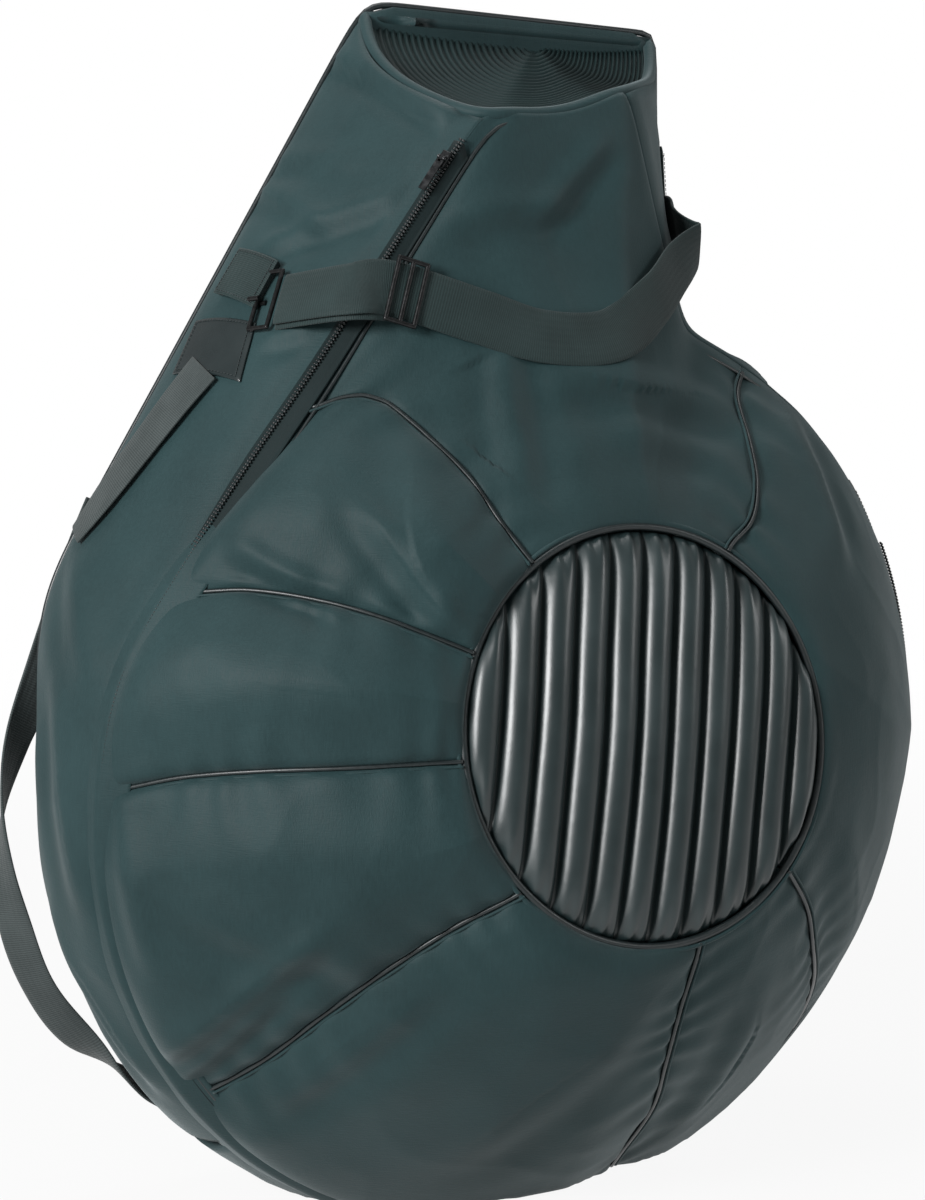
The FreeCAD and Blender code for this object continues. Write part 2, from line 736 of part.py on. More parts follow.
def make_slider():
    """Zip slider on the neck's left edge and its pull on a pin."""
    end = Vec(front_left_low[0], seam_y(front_left_low[1]), front_left_low[1])
    top = Vec(front_left_top[0], seam_y(front_left_top[1]), front_left_top[1])
    along = (end - top).normalize()
    place = top + along * slider_down
    angle = math.atan2(place.z - body_middle, place.x)
    out = corner_normal(angle)
    out = (out - along * out.dot(along)).normalize()
    across = along.cross(out).normalize()
    width, length, height = slider_size
    ground = (tape_thick + chain_height) * corner_rise_share + body_gap
    body = Part.makeBox(width, length, height, Vec(-width / 2, -length / 2, 0))
    body = body.makeFillet(height / 4, [e for e in body.Edges])
    lug = Part.makeBox(width / 3, 2 * pin_height, 2 * pin_height,
                       Vec(-width / 6, -pin_height, height - body_gap))
    hinge_high = height + pin_height + body_gap
    pin = Part.makeCylinder(pin_radius, width, Vec(-width / 2, 0, hinge_high), Vec(1, 0, 0))
    eye_radius = pin_radius + body_gap
    arm = Part.makeBox(pull_size[0], pull_size[1], pull_size[2],
                       Vec(-pull_size[0] / 2, 0, hinge_high - pull_size[2] / 2))
    knuckle = Part.makeCylinder(eye_radius + pull_size[2] / 2, pull_size[0],
                                Vec(-pull_size[0] / 2, 0, hinge_high), Vec(1, 0, 0))
    window = Part.makeBox(width / 3 + 2 * body_gap, 4 * pin_height, 4 * pin_height,
                          Vec(-width / 6 - body_gap, -2 * pin_height, hinge_high - 2 * pin_height))
    hole = Part.makeCylinder(eye_radius, 2 * width, Vec(-width, 0, hinge_high), Vec(1, 0, 0))
    pull = arm.fuse(knuckle).cut(hole).cut(window)
    turn = FreeCAD.Rotation(across, along, out, "ZXY")
    where = FreeCAD.Placement(place + out * ground, turn)
    slider = body.fuse([lug, pin])
    for name, piece in (("zip_slider", slider), ("zip_pull", pull)):
        piece.Placement = where
        save(name, piece)
    hinge = place + out * (ground + hinge_high)
    print("slider along", along, "pull pin", hinge, "across", across)


os.makedirs("parts", exist_ok=True)
shell = make_shell(cap_block())
make_pad()
make_lid()
make_shoulder_strap(shell)
make_side_strap(shell)
make_handle(shell)
make_slider()
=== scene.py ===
"""Sousaphone gig bag: the dressed model, in metres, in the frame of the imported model."""

import logging
import math
from dataclasses import dataclass
from enum import Enum
from typing import Callable, Sequence, TypeVar

import bmesh
import bpy
from mathutils import Matrix, Quaternion, Vector, noise


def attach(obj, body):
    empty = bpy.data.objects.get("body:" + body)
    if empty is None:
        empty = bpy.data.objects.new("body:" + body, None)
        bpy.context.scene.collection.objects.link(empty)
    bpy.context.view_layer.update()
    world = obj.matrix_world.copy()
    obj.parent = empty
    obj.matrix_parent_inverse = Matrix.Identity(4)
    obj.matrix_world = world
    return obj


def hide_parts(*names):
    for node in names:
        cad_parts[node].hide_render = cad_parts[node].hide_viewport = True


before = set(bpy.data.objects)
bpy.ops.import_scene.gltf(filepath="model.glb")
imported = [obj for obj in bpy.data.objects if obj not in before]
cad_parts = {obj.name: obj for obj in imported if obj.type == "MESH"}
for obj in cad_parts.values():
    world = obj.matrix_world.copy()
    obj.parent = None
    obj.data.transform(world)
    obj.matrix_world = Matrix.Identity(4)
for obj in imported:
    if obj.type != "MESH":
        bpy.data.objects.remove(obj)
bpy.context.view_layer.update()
log = logging.getLogger("gig_bag")

Place = Callable[[float, float], Vector]
Row = tuple[float, ...]
Value = TypeVar("Value", float, Vector)

# Point inside the bag that outer faces look away from
BAG_MIDDLE = Vector((0.0, -0.10, 0.45))
# Distance below which two points of a mesh are joined
WELD = 0.00002
# Least heights over the floor: of any cloth, and of cloth with the flap of the zip under it
FLOOR_ROOM = 0.0004
FLAP_ROOM = 0.0044
# Metres that one band of a wave texture takes at scale 1
WAVE_RUN = 0.314


class Body(str, Enum):
    """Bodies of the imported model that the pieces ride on."""

    SHELL = "bag_shell"
    LID = "front_lid"
    LOOP = "strap_loop"
    HANDLE = "handle"


class Slot(str, Enum):
    """Material slots of the record, passed along with the pieces made here."""

    NYLON = "nylon"
    VINYL = "vinyl"
    GREY_VINYL = "grey_vinyl"
    PIPING = "piping"
    WEBBING = "webbing"
    ZIP_TAPE = "zip_tape"
    ZIP_COIL = "zip_coil"


# Form of the bag


def least(values: Sequence[float], sharp: float) -> float:
    """Smallest of some lengths, rounded where two of them are alike.

    Args:
        values: Lengths, all above zero.
        sharp: How sharp the corner between two of them is.

    Returns:
        The rounded smallest length.
    """
    low = min(values)
    return low * sum((v / low) ** -sharp for v in values) ** (-1 / sharp)


def clamp(value: float) -> float:
    """Value held between 0 and 1."""
    return min(1.0, max(0.0, value))


def ease(value: float) -> float:
    """Smooth step from 0 to 1."""
    value = clamp(value)
    return value * value * (3 - 2 * value)


def swell(distance: float, width: float) -> float:
    """Share that grows from 0 at a seam toward 1 a few widths away from it."""
    return 1 - math.exp(-distance / width)


def clear_of(distances: Row, widths: Row) -> float:
    """Share that is 0 at any of some edges and 1 where all are a width or more away."""
    return math.prod(ease(d / w) for d, w in zip(distances, widths))


def mix(low: float, high: float, share: float) -> float:
    """Value between two others."""
    return low + (high - low) * share


def wrap(angle: float) -> float:
    """Angle brought to between minus and plus half a turn."""
    return (angle + math.pi) % (2 * math.pi) - math.pi


def turn_angles(count: int) -> list[float]:
    """Angles of one turn, evenly apart."""
    return [2 * math.pi * i / count for i in range(count)]


def curve(before: Value, low: Value, high: Value, after: Value, share: float) -> Value:
    """Smooth curve between two values, led by the values on either side of them.

    Args:
        before: The value before the two.
        low: The first of the two.
        high: The second of the two.
        after: The value after the two.
        share: Share of the way from the first to the second.

    Returns:
        The value at that share.
    """
    return 0.5 * ((2 * low) + (high - before) * share
                  + (2 * before - 5 * low + 4 * high - after) * share * share
                  + (3 * low - before - 3 * high + after) * share ** 3)


@dataclass
class Outline:
    """One outline of the bag: a round body joined to a straight-sided neck.

    The sides are pairs of (x, z) points.
    """

    radius: float
    left: tuple[Row, Row]
    right: tuple[Row, Row]
    top: tuple[Row, Row]
    middle: float = 0.395
    corner_sharp: float = 60.0
    shoulder_sharp: float = 40.0
    far: float = 1.6
    least_cosine: float = 0.01
    no_neck: float = 0.00001
    samples: int = 2880

    def __post_init__(self) -> None:
        """Fill the table of radii."""
        self.table = [self.exact(angle) for angle in turn_angles(self.samples)]

    def gap(self, side: tuple[Row, Row]) -> tuple[float, float]:
        """Distance and direction from the body's middle to a side's line."""
        start, end = side
        dx, dz = end[0] - start[0], end[1] - start[1]
        long = math.hypot(dx, dz)
        nx, nz = dz / long, -dx / long
        gap = nx * start[0] + nz * (start[1] - self.middle)
        if gap < 0:
            nx, nz, gap = -nx, -nz, -gap
        return gap, math.atan2(nz, nx)

    def line(self, angle: float, side: tuple[Row, Row]) -> float:
        """Distance to a side's line along an angle, or far away where it isn't met."""
        gap, foot = self.gap(side)
        cosine = math.cos(angle - foot)
        return gap / cosine if cosine > gap / self.far else self.far

    def exact(self, angle: float) -> float:
        """Radius of the outline at an angle, worked out in full."""
        gap, foot = self.gap(self.left)
        beyond = math.sin(angle - foot) > 0
        near_left = (gap * max(math.cos(angle - foot), self.least_cosine) if beyond
                     else self.line(angle, self.left))
        neck = self.no_neck
        if math.sin(angle) > 0:
            neck = least((near_left, self.line(angle, self.top), self.line(angle, self.right)),
                         self.corner_sharp)
        sharp = self.shoulder_sharp
        joined = self.radius * (1 + (neck / self.radius) ** sharp) ** (1 / sharp)
        return least((joined, self.line(angle, self.left)), self.corner_sharp)

    def reach(self, angle: float) -> float:
        """Radius of the outline at an angle, from the table."""
        place = (angle / (2 * math.pi) % 1.0) * self.samples
        low = int(place) % self.samples
        return mix(self.table[low], self.table[(low + 1) % self.samples], place - int(place))

    def point(self, angle: float) -> tuple[float, float]:
        """Point (x, z) of the outline at an angle."""
        radius = self.reach(angle)
        return radius * math.cos(angle), self.middle + radius * math.sin(angle)

    def keys(self, flank: float) -> list[float]:
        """Angles where the outline changes: bottom, shoulder, corners, flank and bottom."""
        gap, foot = self.gap(self.right)
        shoulder = foot + math.acos(min(1.0, gap / self.radius))
        corners = [math.atan2(p[1] - self.middle, p[0]) for p in (self.right[1], self.left[1])]
        return [-math.pi / 2, shoulder] + corners + [flank, 1.5 * math.pi]


@dataclass
class BagForm:
    """Surfaces of the bag: the gusset between its two outlines, and the dome of the front."""

    bottom_depth: float = 0.150
    seam_slope: float = 0.045
    gusset_swell: float = 0.020
    pad_edge: float = 0.187
    pad_height: float = 0.468
    pad_front: float = 0.378
    pad_tilt: float = math.radians(13.0)
    dome_swell: float = 0.040
    neck_sink: float = 0.030
    neck_power: int = 6
    flank: float = math.radians(150.0)
    step: float = 0.004
    near: float = 0.002
    probe: float = 0.0022
    corner_share: float = 0.1
    turn_rounds: int = 5
    halvings: int = 26
    rim_sag: float = 0.017
    left_sag: float = 0.029
    sag_power: float = 0.8
    rim_reach: float = 0.66
    tape_width: float = 0.0165
    tape_ends: Row = (math.radians(92.0), math.radians(149.0))
    tape_fade: Row = (math.radians(4.0), math.radians(27.0))

    def __post_init__(self) -> None:
        """Make the outlines at the back and at the front seam."""
        self.back = Outline(0.418, ((-0.387, 0.623), (-0.082, 1.103)),
                            ((0.244, 0.900), (0.243, 1.069)), ((-0.082, 1.103), (0.243, 1.069)))
        self.front = Outline(0.435, ((-0.340, 0.640), (-0.064, 1.016)),
                             ((0.128, 0.900), (0.089, 1.030)), ((-0.064, 1.016), (0.089, 1.030)))
        self.back_keys = self.back.keys(self.flank)
        self.front_keys = self.front.keys(self.flank)

    def front_length(self, angle: float) -> float:
        """Length of the front along an angle, from its edge to the pad's ring."""
        return (self.front_point(angle) - self.ring(angle, self.pad_edge)).length

    def sag(self, share: float, depth: float) -> float:
        """How far the rim hangs below a line between the neck's corners, along a side."""
        return depth * math.sin(math.pi * clamp(share)) ** self.sag_power

    def sag_angle(self, share: float, depth: float) -> float:
        """Angle round the body's middle by which the rim hangs down, along a side."""
        return self.sag(share, depth) / self.rim_reach

    def top_share(self, angle: float) -> float:
        """Share of the dome at which the rim crosses the neck's front."""
        part = (angle - self.front_keys[2]) / (self.front_keys[3] - self.front_keys[2])
        if not 0 < part < 1:
            return 0.0
        return self.sag(part, self.rim_sag) / self.front_length(angle)

    def bare(self, angle: float) -> float:
        """Width of the cloth that lies flat beside the zip, where its tapes show."""
        start = ease((angle - self.tape_ends[0]) / self.tape_fade[0])
        return self.tape_width * start * ease((self.tape_ends[1] - angle) / self.tape_fade[1])

    def seam_y(self, height: float) -> float:
        """Depth of the front seam's plane at a height."""
        return -(self.bottom_depth + self.seam_slope * height)

    def matched(self, angle: float) -> float:
        """Angle on the front outline that goes with one on the back outline."""
        while angle > self.back_keys[-1]:
            angle -= 2 * math.pi
        while angle < self.back_keys[0]:
            angle += 2 * math.pi
        for i, end in enumerate(self.back_keys[1:]):
            if angle <= end:
                share = (angle - self.back_keys[i]) / (end - self.back_keys[i])
                return mix(self.front_keys[i], self.front_keys[i + 1], share)
        return angle

    def back_point(self, angle: float) -> Vector:
        """Point of the back outline."""
        x, z = self.back.point(angle)
        return Vector((x, 0.0, z))

    def front_point(self, angle: float) -> Vector:
        """Point of the front seam."""
        x, z = self.front.point(angle)
        return Vector((x, self.seam_y(z), z))

    def gusset(self, angle: float, share: float) -> Vector:
        """Point of the gusset, from the back (0) to the front seam (1)."""
        low = self.back_point(angle)
        high = self.front_point(self.matched(angle))
        swell = 4 * share * (1 - share) * self.gusset_swell
        return low.lerp(high, share) + Vector((math.cos(angle), 0, math.sin(angle))) * swell

    def ring(self, angle: float, radius: float) -> Vector:
        """Point on a ring round the bumper pad."""
        rise = radius * math.sin(angle)
        return Vector((radius * math.cos(angle), -self.pad_front + rise * math.sin(self.pad_tilt),
                       self.pad_height + rise * math.cos(self.pad_tilt)))

    def dome(self, angle: float, share: float) -> Vector:
        """Point of the dome, from the front seam (0) to the pad's ring (1)."""
        low = self.front_point(angle)
        high = self.ring(angle, self.pad_edge)
        up = max(0.0, math.sin(angle)) ** self.neck_power
        swell = self.dome_swell * (1 - up) - self.neck_sink * up
        return low.lerp(high, share) - Vector((0, swell * math.sin(math.pi * share), 0))

    def ray(self, angle: float, share: float) -> Vector:
        """Point of the dome that lies on a ray from the pad's middle, seen from the front."""
        return self.dome(self.ray_angle(angle, share), share)

    def ray_angle(self, angle: float, share: float) -> float:
        """Angle round the body at which a ray from the pad's middle meets the dome."""
        turned = angle
        for _ in range(self.turn_rounds):
            point = self.dome(turned, share)
            turned += wrap(angle - math.atan2(point.z - self.pad_height, point.x))
        return turned

    def out(self, place: Place, first: float, second: float) -> Vector:
        """Way that a surface looks, away from the middle of the bag.

        Args:
            place: The surface's function.
            first: Its first value.
            second: Its second value, from 0 to 1.

        Returns:
            The surface's unit normal.
        """
        near = self.near if second < 0.5 else -self.near
        here = place(first, second)
        along = place(first + self.step, second) - place(first - self.step, second)
        across = (place(first, second + near) - here) * (1 if near > 0 else -1)
        normal = along.cross(across).normalized()
        return normal if normal.dot(here - BAG_MIDDLE) > 0 else -normal

    def front_surface(self, x: float, z: float) -> Vector:
        """Point of the dome straight in front of (x, z)."""
        low, high = 0.0, 1.0
        for _ in range(self.halvings):
            share = (low + high) / 2
            middle = mix(self.back.middle, self.pad_height, share)
            point = self.dome(math.atan2(z - middle, x), share)
            if math.hypot(point.x, point.z - middle) > math.hypot(x, z - middle):
                low = share
            else:
                high = share
        return Vector((x, min(point.y, self.seam_y(z)), z))

    def front_out(self, x: float, z: float) -> Vector:
        """Way that the dome looks in front of (x, z)."""
        reach = self.probe
        across = self.front_surface(x + reach, z) - self.front_surface(x - reach, z)
        up = self.front_surface(x, z + reach) - self.front_surface(x, z - reach)
        return across.cross(up).normalized()

    def corner_out(self, angle: float) -> Vector:
        """Way that the front seam's edge looks, between the side and the front."""
        edge = self.front_point(angle)
        along = (self.front_point(angle + self.step) - self.front_point(angle - self.step))
        side = Vector((along.z, 0, -along.x)).normalized()
        if side.dot(edge - Vector((0, edge.y, self.back.middle))) < 0:
            side = -side
        front = (self.dome(angle, self.corner_share) - edge).normalized()
        face = along.cross(front).normalized()
        if face.y > 0:
            face = -face
        return (side + face).normalized()


FORM = BagForm()


# Making meshes


def new_object(name: str, mesh: bmesh.types.BMesh) -> bpy.types.Object:
    """Turn a bmesh into an object at the origin and link it.

    Args:
        name: Name of the piece.
        mesh: The finished bmesh, freed here.

    Returns:
        The new object.
    """
    data = bpy.data.meshes.new(name)
    mesh.to_mesh(data)
    mesh.free()
    for polygon in data.polygons:
        polygon.use_smooth = True
    piece = bpy.data.objects.new(name, data)
    bpy.context.scene.collection.objects.link(piece)
    return piece


def run_length(place: Callable[[float], Vector], steps: int) -> float:
    """Length of a line whose points are given for shares from 0 to 1, in straight steps."""
    points = [place(i / steps) for i in range(steps + 1)]
    return sum((high - low).length for low, high in zip(points, points[1:]))


def mapped_grid(columns: int, rows: int, place: Place) -> bmesh.types.BMesh:
    """Grid whose points are laid on a surface, with its own run in metres as UV.

    Args:
        columns: Faces along the first value.
        rows: Faces along the second.
        place: Gives the point for two values from 0 to 1.

    Returns:
        The new bmesh.
    """
    mesh = bmesh.new()
    layer = mesh.loops.layers.uv.new("run")
    bmesh.ops.create_grid(mesh, x_segments=columns, y_segments=rows, size=0.5)
    pairs = {v: (v.co.x + 0.5, v.co.y + 0.5) for v in mesh.verts}
    for vert, (u, w) in pairs.items():
        vert.co = place(clamp(u), clamp(w))
    long = run_length(lambda share: place(share, 0.5), 24)
    wide = run_length(lambda share: place(0.5, share), 12)
    for face in mesh.faces:
        for loop in face.loops:
            u, w = pairs[loop.vert]
            loop[layer].uv = (u * long, w * wide)
    return mesh


def weld(mesh: bmesh.types.BMesh) -> None:
    """Join the points of a mesh that lie on one another."""
    bmesh.ops.remove_doubles(mesh, verts=mesh.verts[:], dist=WELD)


def face_away(mesh: bmesh.types.BMesh, middle: Vector = BAG_MIDDLE) -> None:
    """Make the faces of an open sheet look away from a point."""
    mesh.normal_update()
    total = sum(f.normal.dot((f.calc_center_median() - middle).normalized()) * f.calc_area()
                for f in mesh.faces)
    if total < 0:
        bmesh.ops.reverse_faces(mesh, faces=mesh.faces[:])


def thicken(piece: bpy.types.Object, thick: float, offset: float = -1.0) -> None:
    """Give a sheet its thickness with a Solidify modifier."""
    solid = piece.modifiers.new("thickness", "SOLIDIFY")
    solid.thickness = thick
    solid.offset = offset
    solid.use_rim = True


def soften(piece: bpy.types.Object, width: float) -> None:
    """Round the sharp edges of a piece with a Bevel modifier."""
    edge = piece.modifiers.new("edge", "BEVEL")
    edge.width = width
    edge.segments = 2
    edge.limit_method = "ANGLE"
    edge.angle_limit = math.radians(50)


def smooth_path(points: Sequence[Vector], count: int) -> list[Vector]:
    """Points along a smooth curve through some others, evenly by number.

    Args:
        points: Points that the curve passes through.
        count: How many points to give back.

    Returns:
        The new points, first and last kept.
    """
    spans = len(points) - 1
    result = []
    for i in range(count):
        place = spans * i / (count - 1)
        k = min(int(place), spans - 1)
        result.append(curve(points[max(k - 1, 0)], points[k], points[k + 1],
                            points[min(k + 2, spans)], place - k))
    return result


def webbing_strip(name: str, points: Sequence[Vector], outs: Sequence[Vector],
                  widths: Sequence[float], thick: float, count: int = 90,
                  curl: float = 0.0012, rows: int = 10,
                  softness: float = 0.35) -> bpy.types.Object:
    """Strip of webbing along a smooth route, with slightly rounded edges.

    Args:
        name: Name of the piece.
        points: Points of the strip's middle.
        outs: Ways that its broad face looks at those points.
        widths: Its widths there.
        thick: Its thickness.
        count: Faces along it.
        curl: How far its edges bend back.
        rows: Faces across it.
        softness: Rounding of its edges, as a share of its thickness.

    Returns:
        The new object.
    """
    route = smooth_path(points, count + 1)
    faces = [o.normalized() for o in smooth_path(outs, count + 1)]
    wides = [v.x for v in smooth_path([Vector((w, 0, 0)) for w in widths], count + 1)]

    def place(u: float, w: float) -> Vector:
        i = min(count, round(u * count))
        along = route[min(i + 1, count)] - route[max(i - 1, 0)]
        side = along.cross(faces[i]).normalized()
        rise = side.cross(along).normalized()
        v = 2 * w - 1
        return route[i] + side * (v * wides[i] / 2) - rise * (curl * v ** 4)

    piece = new_object(name, mapped_grid(count, rows, place))
    thicken(piece, thick, 0.0)
    soften(piece, thick * softness)
    return piece


def cord_tube(name: str, points: Sequence[Vector], radius: float, closed: bool = False,
              sides: int = 8, steep: float = 0.05) -> bpy.types.Object:
    """Round piping that follows some points.

    Args:
        name: Name of the piece.
        points: Points of its middle line.
        radius: Its radius.
        closed: Whether it meets itself.
        sides: Sides of the tube.
        steep: Least length of the way across before another one is taken.

    Returns:
        The new object, a mesh of rings bridged into a tube.
    """
    mesh = bmesh.new()
    total = len(points)
    rings = []
    normal = Vector((0, 0, 1))
    for i, point in enumerate(points):
        if closed:
            along = points[(i + 1) % total] - points[i - 1]
        else:
            along = points[min(i + 1, total - 1)] - points[max(i - 1, 0)]
        along.normalize()
        side = normal - along * normal.dot(along)
        if side.length < steep:
            side = Vector((1, 0, 0)) - along * along.x
        normal = side.normalized()
        turn = Matrix((along.cross(normal), normal, along)).transposed().to_4x4()
        turn.translation = point
        made = bmesh.ops.create_circle(mesh, cap_ends=False, segments=sides, radius=radius,
                                       matrix=turn)
        rings.append(made["verts"])
    pairs = list(zip(rings, rings[1:] + rings[:1])) if closed else list(zip(rings, rings[1:]))
    for low, high in pairs:
        edges = {e for v in low + high for e in v.link_edges
                 if len(e.link_faces) < 2 and set(e.verts) <= set(low) | set(high)}
        ring_edges = [e for e in edges if set(e.verts) <= set(low) or set(e.verts) <= set(high)]
        bmesh.ops.bridge_loops(mesh, edges=ring_edges)
    if not closed:
        for ring in (rings[0], rings[-1]):
            bmesh.ops.contextual_create(mesh, geom=ring)
    bmesh.ops.recalc_face_normals(mesh, faces=mesh.faces[:])
    return new_object(name, mesh)


def stitch_row(mesh: bmesh.types.BMesh, points: Sequence[Vector], outs: Sequence[Vector],
               pitch: float = 0.0042, radius: float = 0.00042, rise: float = 0.6,
               taper: float = 0.8, thread: float = 0.68) -> None:
    """Add a row of stitches to a mesh, each a short thread that lies on the surface.

    Args:
        mesh: The mesh to add to.
        points: Points of the row.
        outs: Ways that the surface looks there.
        pitch: Distance from one stitch to the next.
        radius: Radius of the thread.
        rise: Height of the thread's middle over the surface, in radii.
        taper: Thickness of its far end, as a share of the near one's.
        thread: Share of the pitch that the thread takes.
    """
    left = 0.0
    for low, high, out in zip(points, points[1:], outs):
        long = (high - low).length
        if long < 1e-6:
            continue
        along = (high - low) / long
        while left < long:
            middle = low + along * left + out * radius * rise
            across = out.cross(along).normalized()
            turn = Matrix((across, along.cross(across), along)).transposed().to_4x4()
            turn.translation = middle
            bmesh.ops.create_cone(mesh, cap_ends=True, segments=5, radius1=radius,
                                  radius2=radius * taper, depth=pitch * thread, matrix=turn)
            left += pitch
        left -= long


# Materials


class Nodes:
    """Small helper that adds nodes to a material and wires them."""

    def __init__(self, name: str) -> None:
        """Start a material with a principled shader."""
        self.material = bpy.data.materials.new(name)
        self.material.use_nodes = True
        self.tree = self.material.node_tree
        self.shader = self.tree.nodes["Principled BSDF"]

    def add(self, kind: str, **inputs: object) -> bpy.types.Node:
        """Add a node and set its properties and plain inputs."""
        node = self.tree.nodes.new(kind)
        for key, value in inputs.items():
            if hasattr(node, key):
                setattr(node, key, value)
            else:
                node.inputs[key.replace("_", " ")].default_value = value
        return node

    def wire(self, start: bpy.types.NodeSocket, end: bpy.types.NodeSocket) -> None:
        """Join two sockets."""
        self.tree.links.new(start, end)

    def settle(self, **inputs: object) -> None:
        """Set plain inputs of the shader."""
        for key, value in inputs.items():
            self.shader.inputs[key.replace("_", " ")].default_value = value

    def finish(self, colour: bpy.types.NodeSocket, roughness: bpy.types.NodeSocket,
               normal: bpy.types.NodeSocket) -> bpy.types.Material:
        """Wire the shader's colour, roughness and normal, and give back the material."""
        for socket, name in ((colour, "Base Color"), (roughness, "Roughness"),
                             (normal, "Normal")):
            self.wire(socket, self.shader.inputs[name])
        return self.material

    def coordinates(self, run: bool = False, scale: Row = (1.0, 1.0, 1.0)) -> bpy.types.NodeSocket:
        """Object coordinates, or the strip's own run, scaled along each axis."""
        if run:
            source = self.add("ShaderNodeUVMap", uv_map="run").outputs["UV"]
        else:
            source = self.add("ShaderNodeTexCoord").outputs["Object"]
        mapping = self.add("ShaderNodeMapping")
        mapping.inputs["Scale"].default_value = scale
        self.wire(source, mapping.inputs["Vector"])
        return mapping.outputs["Vector"]

    def wave(self, vector: bpy.types.NodeSocket, scale: float,
             direction: str) -> bpy.types.NodeSocket:
        """Even bands across a direction."""
        node = self.add("ShaderNodeTexWave", wave_type="BANDS", bands_direction=direction,
                        wave_profile="SIN", Scale=scale, Distortion=0.0)
        self.wire(vector, node.inputs["Vector"])
        return node.outputs["Fac"]

    def noise(self, vector: bpy.types.NodeSocket, scale: float, detail: float,
              rough: float = 0.5) -> bpy.types.NodeSocket:
        """Soft noise."""
        node = self.add("ShaderNodeTexNoise", Scale=scale, Detail=detail, Roughness=rough)
        self.wire(vector, node.inputs["Vector"])
        return node.outputs["Fac"]

    def maths(self, operation: str, first: bpy.types.NodeSocket,
              second: object) -> bpy.types.NodeSocket:
        """Sum, product and the like of two values."""
        node = self.add("ShaderNodeMath", operation=operation)
        self.wire(first, node.inputs[0])
        if isinstance(second, (int, float)):
            node.inputs[1].default_value = second
        else:
            self.wire(second, node.inputs[1])
        return node.outputs[0]

    def blend(self, first: bpy.types.NodeSocket, second: bpy.types.NodeSocket,
              share: float) -> bpy.types.NodeSocket:
        """Mix of two values, with the share that the second takes."""
        return self.maths("ADD", self.maths("MULTIPLY", first, 1 - share),
                          self.maths("MULTIPLY", second, share))

    def tones(self, fac: bpy.types.NodeSocket, dark: Row, light: Row, low: float = 0.3,
              high: float = 0.7) -> bpy.types.NodeSocket:
        """Colour between two tones."""
        ramp = self.add("ShaderNodeValToRGB")
        ramp.color_ramp.elements[0].position = low
        ramp.color_ramp.elements[1].position = high
        ramp.color_ramp.elements[0].color = (*dark, 1.0)
        ramp.color_ramp.elements[1].color = (*light, 1.0)
        self.wire(fac, ramp.inputs["Fac"])
        return ramp.outputs["Color"]

    def range(self, fac: bpy.types.NodeSocket, low: float, high: float) -> bpy.types.NodeSocket:
        """Value brought from 0 to 1 into another range."""
        node = self.add("ShaderNodeMapRange")
        node.inputs["To Min"].default_value = low
        node.inputs["To Max"].default_value = high
        self.wire(fac, node.inputs["Value"])
        return node.outputs["Result"]

    def bump(self, height: bpy.types.NodeSocket, distance: float, strength: float = 1.0,
             under: bpy.types.NodeSocket | None = None) -> bpy.types.NodeSocket:
        """Bump in metres, on top of another where given."""
        node = self.add("ShaderNodeBump", Strength=strength, Distance=distance)
        self.wire(height, node.inputs["Height"])
        if under is not None:
            self.wire(under, node.inputs["Normal"])
        return node.outputs["Normal"]


@dataclass(frozen=True)
class ClothFinish:
    """Plain-weave nylon, with threads, a fine slub and a soft sheen."""

    name: str = "nylon_cloth"
    dark: Row = (0.0088, 0.0250, 0.0270)
    light: Row = (0.0170, 0.0420, 0.0450)
    roughness: float = 0.60
    sheen: float = 0.15
    run: bool = False
    thread: float = 0.0011
    thread_stretch: float = 0.12
    slub_scale: float = 420.0
    slub_stretch: float = 0.2
    slub_share: float = 0.3
    spread: float = 0.08
    cloud_scale: float = 7.0
    sheen_roughness: float = 0.45
    sheen_tint: Row = (0.80, 0.90, 0.92, 1.0)
    specular: float = 0.20
    dimple_scale: float = 38.0
    dimple: Row = (0.0006, 0.5)
    weave: Row = (0.00030, 0.7)

    def build(self) -> bpy.types.Material:
        """Make the material."""
        n = Nodes(self.name)
        scale = WAVE_RUN / self.thread * 3
        thin = self.thread_stretch
        where = n.coordinates(self.run)
        warp = n.noise(n.coordinates(self.run, (1.0, 1.0, thin)), scale, 2.0)
        weft = n.noise(n.coordinates(self.run, (thin, thin, 1.0)), scale, 2.0)
        weave = n.maths("ADD", warp, weft)
        slub = n.noise(n.coordinates(self.run, (1.0, 1.0, self.slub_stretch)),
                       self.slub_scale, 3.0)
        cloud = n.noise(where, self.cloud_scale, 4.0, 0.6)
        tone = n.blend(cloud, slub, self.slub_share)
        n.settle(Sheen_Weight=self.sheen, Sheen_Roughness=self.sheen_roughness,
                 Sheen_Tint=self.sheen_tint, Specular_IOR_Level=self.specular)
        under = n.bump(n.noise(where, self.dimple_scale, 3.0), *self.dimple)
        return n.finish(n.tones(tone, self.dark, self.light),
                        n.range(slub, self.roughness - self.spread, self.roughness + self.spread),
                        n.bump(weave, *self.weave, under))


